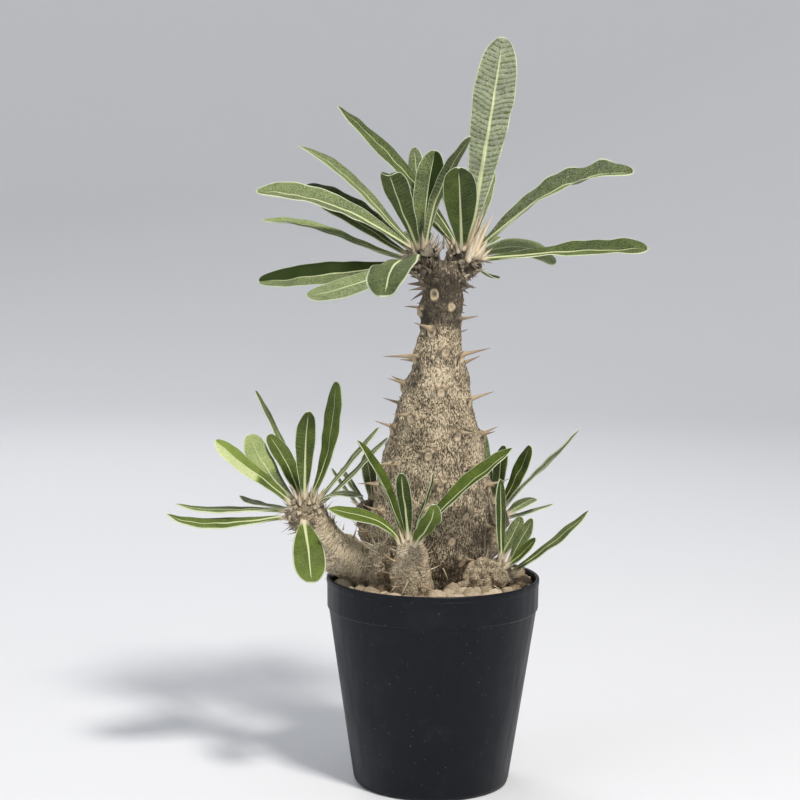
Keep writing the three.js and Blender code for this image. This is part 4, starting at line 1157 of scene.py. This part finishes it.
class PLANT_OT_sheaths(bpy.types.Operator):
    """Makes the dry bud sheaths and the long spines between the leaves' feet"""

    bl_idname = "plant.sheaths"
    bl_label = "Bud sheaths"

    def execute(self, context):
        settings = context.scene.plant_spines
        random = np.random.default_rng(81)
        heads = np.array([LIMBS[row[0]][-1] for row in SHEATHS])
        turns, rises, leans, lengths, widths, age = np.array([row[1:] for row in SHEATHS], float).T
        outward = direction(turns, rises)
        feet = heads[:, :3] + (heads[:, 3:] - 1.0) * outward
        ways = unit(direction(turns, 0 * turns) * 0.6 + leans[:, None] * UP)
        bends = random.normal(0, 0.08, feet.shape)
        rings = spikes(feet, ways, bends, lengths, widths / 2, 14, 12, flare=0.15, flatten=0.4)
        fields = {"age": age[:, None, None] + 0.35 * np.linspace(-0.4, 1, 14)[None, :, None] ** 2}
        make_shells("bud_sheaths", rings, sheath_finish(settings), fields)

        feet, ways, lengths = spans(CROWN_SPINES)
        bends = random.normal(0, 0.05, ways.shape)
        radii = np.full(len(feet), CROWN_SPINE_RADIUS)
        rings = spikes(feet, ways, bends, lengths, radii, 12, 7, flare=0.8)
        fields = {"along": np.linspace(0.2, 0.8, 12)[None, :, None], "age": np.full((1, 1, 1), 0.35)}
        make_shells("crown_spines", rings, spine_finish(settings), fields)
        return {"FINISHED"}


# Places across a leaf, from the rib at 0 to the margin at 1: close together at both
ACROSS = np.array([0, 0.05, 0.1, 0.16, 0.26, 0.38, 0.5, 0.62, 0.74, 0.84, 0.92, 0.97, 1])
LEAF_STEP = 0.62
TIP_ROWS = 10
RIB_WIDTH = 1.15
# Side veins: how far they lean to the tip, their spacing on the narrowest leaf, how much a wider leaf
# adds to it, and the size of the hairs
VEIN_SLANT = 0.32
VEIN_SPACING = 1.35
VEIN_SPACING_BY_WIDTH = 0.055
HAIR_SIZE = 0.42


def leaf_places(length):
    """Places along a leaf from 0 to 1, closer together in the last part, so that the tip is round."""
    tip = 1 - 0.06 * (1 - np.linspace(0, 1, TIP_ROWS + 1)[1:]) ** 2
    return np.concatenate([np.linspace(0, 0.94, max(14, int(0.94 * length / LEAF_STEP))), tip])


def leaf_course(row, head):
    """Centre line, across and normal of a leaf, and the places along it.

    The line is a cubic Bezier from the foot, which is sunk in the head, to the tip. Its two handles
    stand on the straight line at a third and two thirds, raised by bow and moved sideways by sway. The
    face at rest is the way nearest to upright, turned round the straight line by roll. A curl bends
    the last part back on an arc.
    """
    foot = head[:3] + direction(*row["start"]) * (head[3] - PETIOLE_DEPTH)
    tip = np.array(row["tip"], float)
    chord = tip - foot
    length = np.linalg.norm(chord)
    line = chord / length
    rise = unit(UP - line * (UP @ line))
    side = np.cross(line, rise)
    handles = [foot + chord * (k + 1) / 3 + rise * row["bow"][k] + side * row["sway"][k] for k in (0, 1)]
    places = leaf_places(length)
    t = places[:, None]
    points = (1 - t) ** 3 * foot + 3 * t * (1 - t) ** 2 * handles[0] + 3 * t**2 * (1 - t) * handles[1]
    points = points + t**3 * tip
    slope = (1 - t) ** 2 * (handles[0] - foot) + 2 * t * (1 - t) * (handles[1] - handles[0])
    tangent = unit(slope + t**2 * (tip - handles[1]))
    roll = math.radians(row["roll"])
    face = rise * math.cos(roll) + side * math.sin(roll)
    across = unit(np.cross(face, tangent))
    normal = np.cross(tangent, across)
    if row["curl"]:
        start = np.searchsorted(places, row["curl_from"])
        gone = np.linalg.norm(np.diff(points[start - 1:], axis=0), axis=1).cumsum()
        bend = math.radians(row["curl"]) * gone / gone[-1]
        radius = gone[-1] / math.radians(row["curl"])
        base, ahead, back = points[start - 1], tangent[start - 1], -normal[start - 1]
        points[start:] = base + radius * (
            np.sin(bend)[:, None] * ahead + (1 - np.cos(bend))[:, None] * back)
        tangent[start:] = np.cos(bend)[:, None] * ahead + np.sin(bend)[:, None] * back
        normal[start:] = np.cross(tangent[start:], across[start:])
    return points, across, normal, places


def leaf_surface(row, head, settings, seed):
    """Rings of a leaf, over the places along it and a loop that runs over its face and back under it.

    Half its width is a stalk that swells as a power of a sine up to the belly and then closes as a
    superellipse. The halves rise to a soft V, waves move the margins, and the margins roll under. The
    thickness falls from rib to margin and closes as a superellipse, and a rib stands out below. Side
    veins are a cosine of the way along less a slant times the way across.
    """
    points, across, normal, places = leaf_course(row, head)
    way = np.concatenate([[0], np.linalg.norm(np.diff(points, axis=0), axis=1).cumsum()])
    swell = np.sin(np.pi / 2 * np.minimum(1, places / row["belly"])) ** 1.4
    past = np.maximum(0, (places - row["belly"]) / (1 - row["belly"]))
    close = np.maximum(1 - past ** (2.6 - 0.8 * row["point"]), 0) ** (0.5 + 0.4 * row["point"])
    half = 0.5 * (PETIOLE_WIDTH + (row["width"] - PETIOLE_WIDTH) * swell) * close
    wobble = 1 + 0.02 * waves(np.stack([way, 0 * way, 0 * way], -1), 16, seed) * ease(0.2, 0.5, places)
    half = half * wobble
    stalk = np.maximum(0, 1 - places / PETIOLE_END)[:, None]
    ripple = row["wave"] * np.minimum(1, 2 * places) * np.sin(2 * np.pi * WAVES_PER_LEAF * places)

    share = np.concatenate([ACROSS[::-1], -ACROSS[1:], -ACROSS[-2::-1], ACROSS[1:-1]])
    upper = np.concatenate([np.ones(2 * len(ACROSS) - 1), np.zeros(2 * len(ACROSS) - 3)])
    q = share[None]
    face = np.where(upper > 0.5, 1.0, -1.0)[None]
    x = q * half[:, None]
    soft_v = (np.sqrt(q**2 + 0.012) - 0.11) / (math.sqrt(1.012) - 0.11)
    frill = row["frill"] * ease(0.5, 0.7, places) * np.cos(2 * np.pi * places / FRILL_PITCH)
    camber = row["fold"] * half[:, None] * soft_v - q * np.abs(q) * ripple[:, None]
    camber += (np.maximum(q, 0) ** 3) * (frill * np.minimum(1, half / 4))[:, None]
    camber -= 0.5 * ease(0.8, 1, np.abs(q)) * (1 - stalk) * np.minimum(1, half[:, None] / 4)
    surface = np.stack([way[:, None] + 0 * q, x, 0 * x], -1)
    uneven = 0.02 * row["width"] * ease(0.15, 0.5, places)[:, None]
    camber += uneven * waves(surface, 11, seed + 1)
    blade = settings.blade / MM * (1 - 0.45 * np.abs(q))
    thick = blade * (1 - stalk) + PETIOLE_THICKNESS * stalk * np.sqrt(1 - 0.85 * q**2)
    thick = thick * np.sqrt(np.maximum(1 - np.abs(q) ** 9, 0)) * np.minimum(1, half[:, None] / 1.2)

    rib_width = RIB_WIDTH * (1 - 0.7 * places)[:, None]
    rib = np.exp(-((x / rib_width) ** 2))
    fade = (1 - stalk) * np.minimum(1, half[:, None] / 2.5)
    spacing = VEIN_SPACING + VEIN_SPACING_BY_WIDTH * row["width"]
    phase = (way[:, None] - VEIN_SLANT * np.abs(x)) / spacing + 0.12 * waves(surface, 9, seed + 2)
    veins = settings.vein_height / MM * np.cos(2 * np.pi * phase) * (1 - rib) * ease(1, 0.85, np.abs(q))
    over = 0.5 * thick + fade * (0.5 * veins - 0.22 * rib)
    under = 0.5 * thick + fade * (veins + settings.rib_height / MM * (1 - 0.75 * places)[:, None] * rib)
    z = camber + np.where(face > 0, over, -under)
    rings = points[:, None] + x[..., None] * across[:, None] + z[..., None] * normal[:, None]
    inset = np.minimum((1 - np.abs(q)) * half[:, None], (way[-1] - way)[:, None]) / row["edge"]
    # Lightness of each half, which holds painted shade: a half turned from the light is painted darker
    side = ease(-0.06, 0.06, q)
    tone = row["tones"][1] + (row["tones"][0] - row["tones"][1]) * side
    # Painted sunlight: the outer part of each half lighter, from 0.42 of the way along
    lit = row["glow"][1] + (row["glow"][0] - row["glow"][1]) * side
    tone = tone + lit * ease(0.42, 0.5, places)[:, None]
    fields = {
        "inset": inset, "from_rib": np.abs(x) / row["edge"], "vein": phase, "along": places[:, None] + 0 * q,
        "upper": upper[None] + 0 * x, "tone": tone + 0 * x, "felt": row["felt"] + 0 * x,
        "way": way[:, None] + 0 * x,
    }
    return rings, fields


def leaf_finish(settings, sheath):
    """The skin of a leaf: green with fine hair above, felted below with thin dark lines between the
    side veins, a pale rib, a white margin, and a dry cream foot. Its lightness holds painted shade and
    light as well as its own colour, and above 1 it lays on a pale speckled patch of painted sunlight."""
    paint = Finish("leaf_skin", roughness=0.65, specular_ior_level=0.12)
    place = paint.place()
    mottle = paint.noise(place, 9 * MM, detail=3)
    hair = paint.noise(place, HAIR_SIZE * MM, detail=3, roughness=0.75)
    tufts = paint.noise(place, 1.6 * MM, detail=2)
    upper, tone, felt = (paint.attribute(key) for key in ("upper", "tone", "felt"))
    along, from_rib, inset = (paint.attribute(key) for key in ("along", "from_rib", "inset"))
    phase = paint.sum("ADD", paint.attribute("vein"), paint.spread(hair, 0.2, 0.8, -0.2, 0.2))
    wave = paint.sum("COSINE", paint.sum("MULTIPLY", phase, 2 * math.pi))
    stripe = paint.sum("MULTIPLY_ADD", wave, 0.5, 0.5)

    # Lightness from the per-leaf value, which holds painted shade and light as well as the leaf's own colour
    level = paint.sum("MULTIPLY_ADD", tone, 0.62, paint.spread(mottle, 0.3, 0.7, -0.06, 0.1))
    level = paint.sum("ADD", level, paint.spread(hair, 0.32, 0.68, -0.19, 0.19))
    level = paint.sum("MULTIPLY_ADD", stripe, 0.03, level, clamp=True)
    green = paint.blend(level, colour_of(settings.dark), colour_of(settings.light))
    speckle = paint.spread(hair, 0.42, 0.6, 0.0, 0.85)
    # The grey of the hair fades where the lightness is low, so that a half in painted shade shows none
    grey = paint.sum("MULTIPLY", paint.sum("MULTIPLY", felt, speckle), paint.spread(tone, -0.3, 0.3))
    top = paint.blend(grey, green, colour_of(settings.felt))

    lines = paint.spread(stripe, 0.0, 0.3, paint.spread(tufts, 0.4, 0.65, 0.0, 0.65))
    ridges = paint.sum("MULTIPLY", lines, paint.spread(tufts, 0.3, 0.6, 0.72, 1.0))
    hairy = paint.sum("MULTIPLY", ridges, paint.spread(hair, 0.36, 0.58, 0.35, 1.0))
    cover = paint.sum("MULTIPLY", hairy, paint.sum("MULTIPLY_ADD", felt, 0.8, 0.04))
    bottom = paint.blend(cover, green, colour_of(settings.felt))
    colour = paint.blend(upper, bottom, top)
    # Painted sunlight: a pale speckled patch in the rib's colour where the lightness is above 0.9
    painted_sunlit = paint.sum("MULTIPLY", paint.spread(tone, 0.9, 2.0), paint.spread(hair, 0.38, 0.58, 0.2, 1.0))
    colour = paint.blend(painted_sunlit, colour, colour_of(settings.rib))

    rib_edge = paint.spread(along, 0.0, 1.0, 1.15, 0.3)
    rib_inner = paint.sum("MULTIPLY", rib_edge, paint.spread(upper, 0, 1, 0.9, 0.5))
    ratio = paint.sum("DIVIDE", from_rib, rib_inner)
    rib = paint.spread(ratio, 1.25, 0.75)
    rib = paint.sum("MULTIPLY", rib, paint.spread(along, 0.97, 0.88))
    colour = paint.blend(paint.sum("MULTIPLY", rib, 0.85), colour, colour_of(settings.rib))
    width = settings.margin_width / MM
    ragged = paint.sum("ADD", inset, paint.spread(hair, 0.2, 0.8, -0.2, 0.2))
    margin = paint.spread(ragged, width, 0.4 * width)
    margin = paint.sum("MULTIPLY", margin, paint.spread(along, 0.1, 0.3))
    colour = paint.blend(paint.sum("MULTIPLY", margin, 0.8), colour, colour_of(settings.margin))
    foot = paint.spread(paint.attribute("way"), 8.0, 3.0)
    colour = paint.blend(paint.sum("MULTIPLY", foot, 0.85), colour, sheath)
    bumps = paint.relief(hair, 0.06 * MM, 0.6)
    return paint.finish(
        base_color=colour, roughness=paint.spread(felt, 0, 1, 0.55, 0.85),
        normal=paint.relief(stripe, 0.06 * MM, 0.5, bumps))


class PLANT_OT_leaves(bpy.types.Operator):
    """Makes every leaf in place of its plain one"""

    bl_idname = "plant.leaves"
    bl_label = "Leaves"

    def execute(self, context):
        settings = context.scene.plant_leaves
        finish = leaf_finish(settings, colour_of(context.scene.plant_spines.sheath))
        for limb, rows in LEAVES.items():
            for k, row in enumerate(rows, 1):
                node = f"{limb}_leaf_{k:02d}"
                rings, fields = leaf_surface(row, LIMBS[limb][-1], settings, 1000 + 7 * k)
                fields = {key: values[None] for key, values in fields.items()}
                make_shells("blade_" + node, rings[None], finish, fields, [node])
        return {"FINISHED"}


FLOOR_RADIUS = 2.6
FLOOR_BEND = 1.0
FLOOR_RISE = 2.4
# Lights: name, place, size, share of the key's power, and colour
LIGHTS = [
    ("key", (0.55, -1.0, 1.75), 0.3, 1.0, (1.0, 0.96, 0.90)),
    ("fill", (-1.3, -1.0, 0.8), 1.2, 0.15, (0.9, 0.95, 1.0)),
    ("back", (-0.6, 1.3, 1.3), 0.9, 0.25, (1.0, 1.0, 1.0)),
]
LIGHT_TARGET = (0, 0, 0.2)
SKY_COLOUR = (0.93, 0.96, 1.0, 1)
CAMERA_PLACE = (-0.017, -0.900, 0.286)
CAMERA_PITCH = 6.1
CAMERA_ROLL = 0.5
CAMERA_LENS = 83.25
SENSOR_WIDTH = 36.0


def area_light(name, place, size, power, colour):
    """A square soft light that looks from its place, in metres, to the plant."""
    light = bpy.data.lights.new(name, "AREA")
    light.size, light.energy, light.color = size, power, colour
    lamp = bpy.data.objects.new(name, light)
    bpy.context.scene.collection.objects.link(lamp)
    lamp.location = place
    way = np.array(LIGHT_TARGET) - np.array(place)
    lamp.rotation_euler = (
        math.acos(-way[2] / np.linalg.norm(way)), 0, math.atan2(way[1], way[0]) - math.pi / 2)
    return lamp


class PLANT_OT_stage(bpy.types.Operator):
    """Makes the pale floor, the soft lights and the camera"""

    bl_idname = "plant.stage"
    bl_label = "Stage"

    def execute(self, context):
        settings = context.scene.plant_stage
        flat = np.linspace(0.002, 1, 40) * (FLOOR_RADIUS - FLOOR_BEND)
        bend = np.linspace(0, np.pi / 2, 24)[1:]
        reach = FLOOR_RADIUS - FLOOR_BEND + FLOOR_BEND * np.sin(bend)
        reach = np.concatenate([flat, reach, [FLOOR_RADIUS]])
        rise = np.concatenate([0 * flat, FLOOR_BEND * (1 - np.cos(bend)), [FLOOR_RISE]])
        rings = turned(np.stack([reach, rise], -1), 96)
        mesh = bpy.data.meshes.new("floor")
        quads, fans = shell_faces(*rings.shape[:2])
        columns = rings.shape[1]
        mesh.from_pydata(with_poles(rings[None], 1)[0][:-1].tolist(), [], [
            *quads[:, ::-1].tolist(), *fans[:columns, ::-1].tolist()])
        mesh.shade_smooth()
        paint = Finish("floor", roughness=0.9, base_color=(*colour_of(settings.floor), 1))
        mesh.materials.append(paint.material)
        floor = bpy.data.objects.new("floor", mesh)
        context.scene.collection.objects.link(floor)

        for name, place, size, share, colour in LIGHTS:
            area_light(name, place, size, share * settings.key_power, colour)
        world = bpy.data.worlds.new("sky")
        world.use_nodes = True
        world.node_tree.nodes["Background"].inputs["Color"].default_value = SKY_COLOUR
        world.node_tree.nodes["Background"].inputs["Strength"].default_value = settings.sky
        context.scene.world = world
        context.scene.view_settings.view_transform = "Standard"

        lens = bpy.data.cameras.new("camera")
        lens.sensor_width, lens.lens = SENSOR_WIDTH, CAMERA_LENS
        lens.clip_start, lens.clip_end = 0.05, 20
        camera = bpy.data.objects.new("camera", lens)
        context.scene.collection.objects.link(camera)
        camera.location = CAMERA_PLACE
        camera.rotation_euler = camera_turn()
        context.scene.camera = camera
        return {"FINISHED"}


def camera_turn():
    """Euler angles of a camera that looks along +Y, pitched down and rolled about its own view."""
    pitch = Matrix.Rotation(math.radians(90 - CAMERA_PITCH), 3, "X")
    roll = Matrix.Rotation(math.radians(CAMERA_ROLL), 3, "Z")
    return (pitch @ roll).to_euler("XYZ")


class PLANT_PT_panel(bpy.types.Panel):
    """Lists the pieces of the plant and their settings"""

    bl_idname = "PLANT_PT_panel"
    bl_label = "Potted cactipes"
    bl_space_type = "VIEW_3D"
    bl_region_type = "UI"
    bl_category = "Plant"

    def draw(self, context):
        for operator in OPERATORS:
            self.layout.operator(operator.bl_idname)
        for group in SETTINGS:
            box = self.layout.box()
            box.label(text=group.capitalize())
            values = getattr(context.scene, "plant_" + group)
            for key in values.bl_rna.properties.keys():
                if key not in ("rna_type", "name"):
                    box.prop(values, key)


SETTINGS = {
    "pot": PotSettings, "soil": SoilSettings, "bark": BarkSettings, "spines": SpineSettings,
    "leaves": LeafSettings, "stage": StageSettings,
}
OPERATORS = (
    PLANT_OT_stage, PLANT_OT_pot, PLANT_OT_soil, PLANT_OT_trunk, PLANT_OT_limbs, PLANT_OT_spines,
    PLANT_OT_bristles, PLANT_OT_sheaths, PLANT_OT_leaves,
)


def register():
    """Registers the settings, the operators and the panel."""
    for name, group in SETTINGS.items():
        bpy.utils.register_class(group)
        setattr(bpy.types.Scene, "plant_" + name, bpy.props.PointerProperty(type=group))
    for part in (*OPERATORS, PLANT_PT_panel):
        bpy.utils.register_class(part)


def unregister():
    """Takes back what register did."""
    for part in (PLANT_PT_panel, *reversed(OPERATORS)):
        bpy.utils.unregister_class(part)
    for name, group in reversed(SETTINGS.items()):
        delattr(bpy.types.Scene, "plant_" + name)
        bpy.utils.unregister_class(group)


def main():
    """Builds the plant piece by piece."""
    register()
    for operator in OPERATORS:
        group, call = operator.bl_idname.split(".")
        getattr(getattr(bpy.ops, group), call)()


if __name__ == "__main__":
    main()
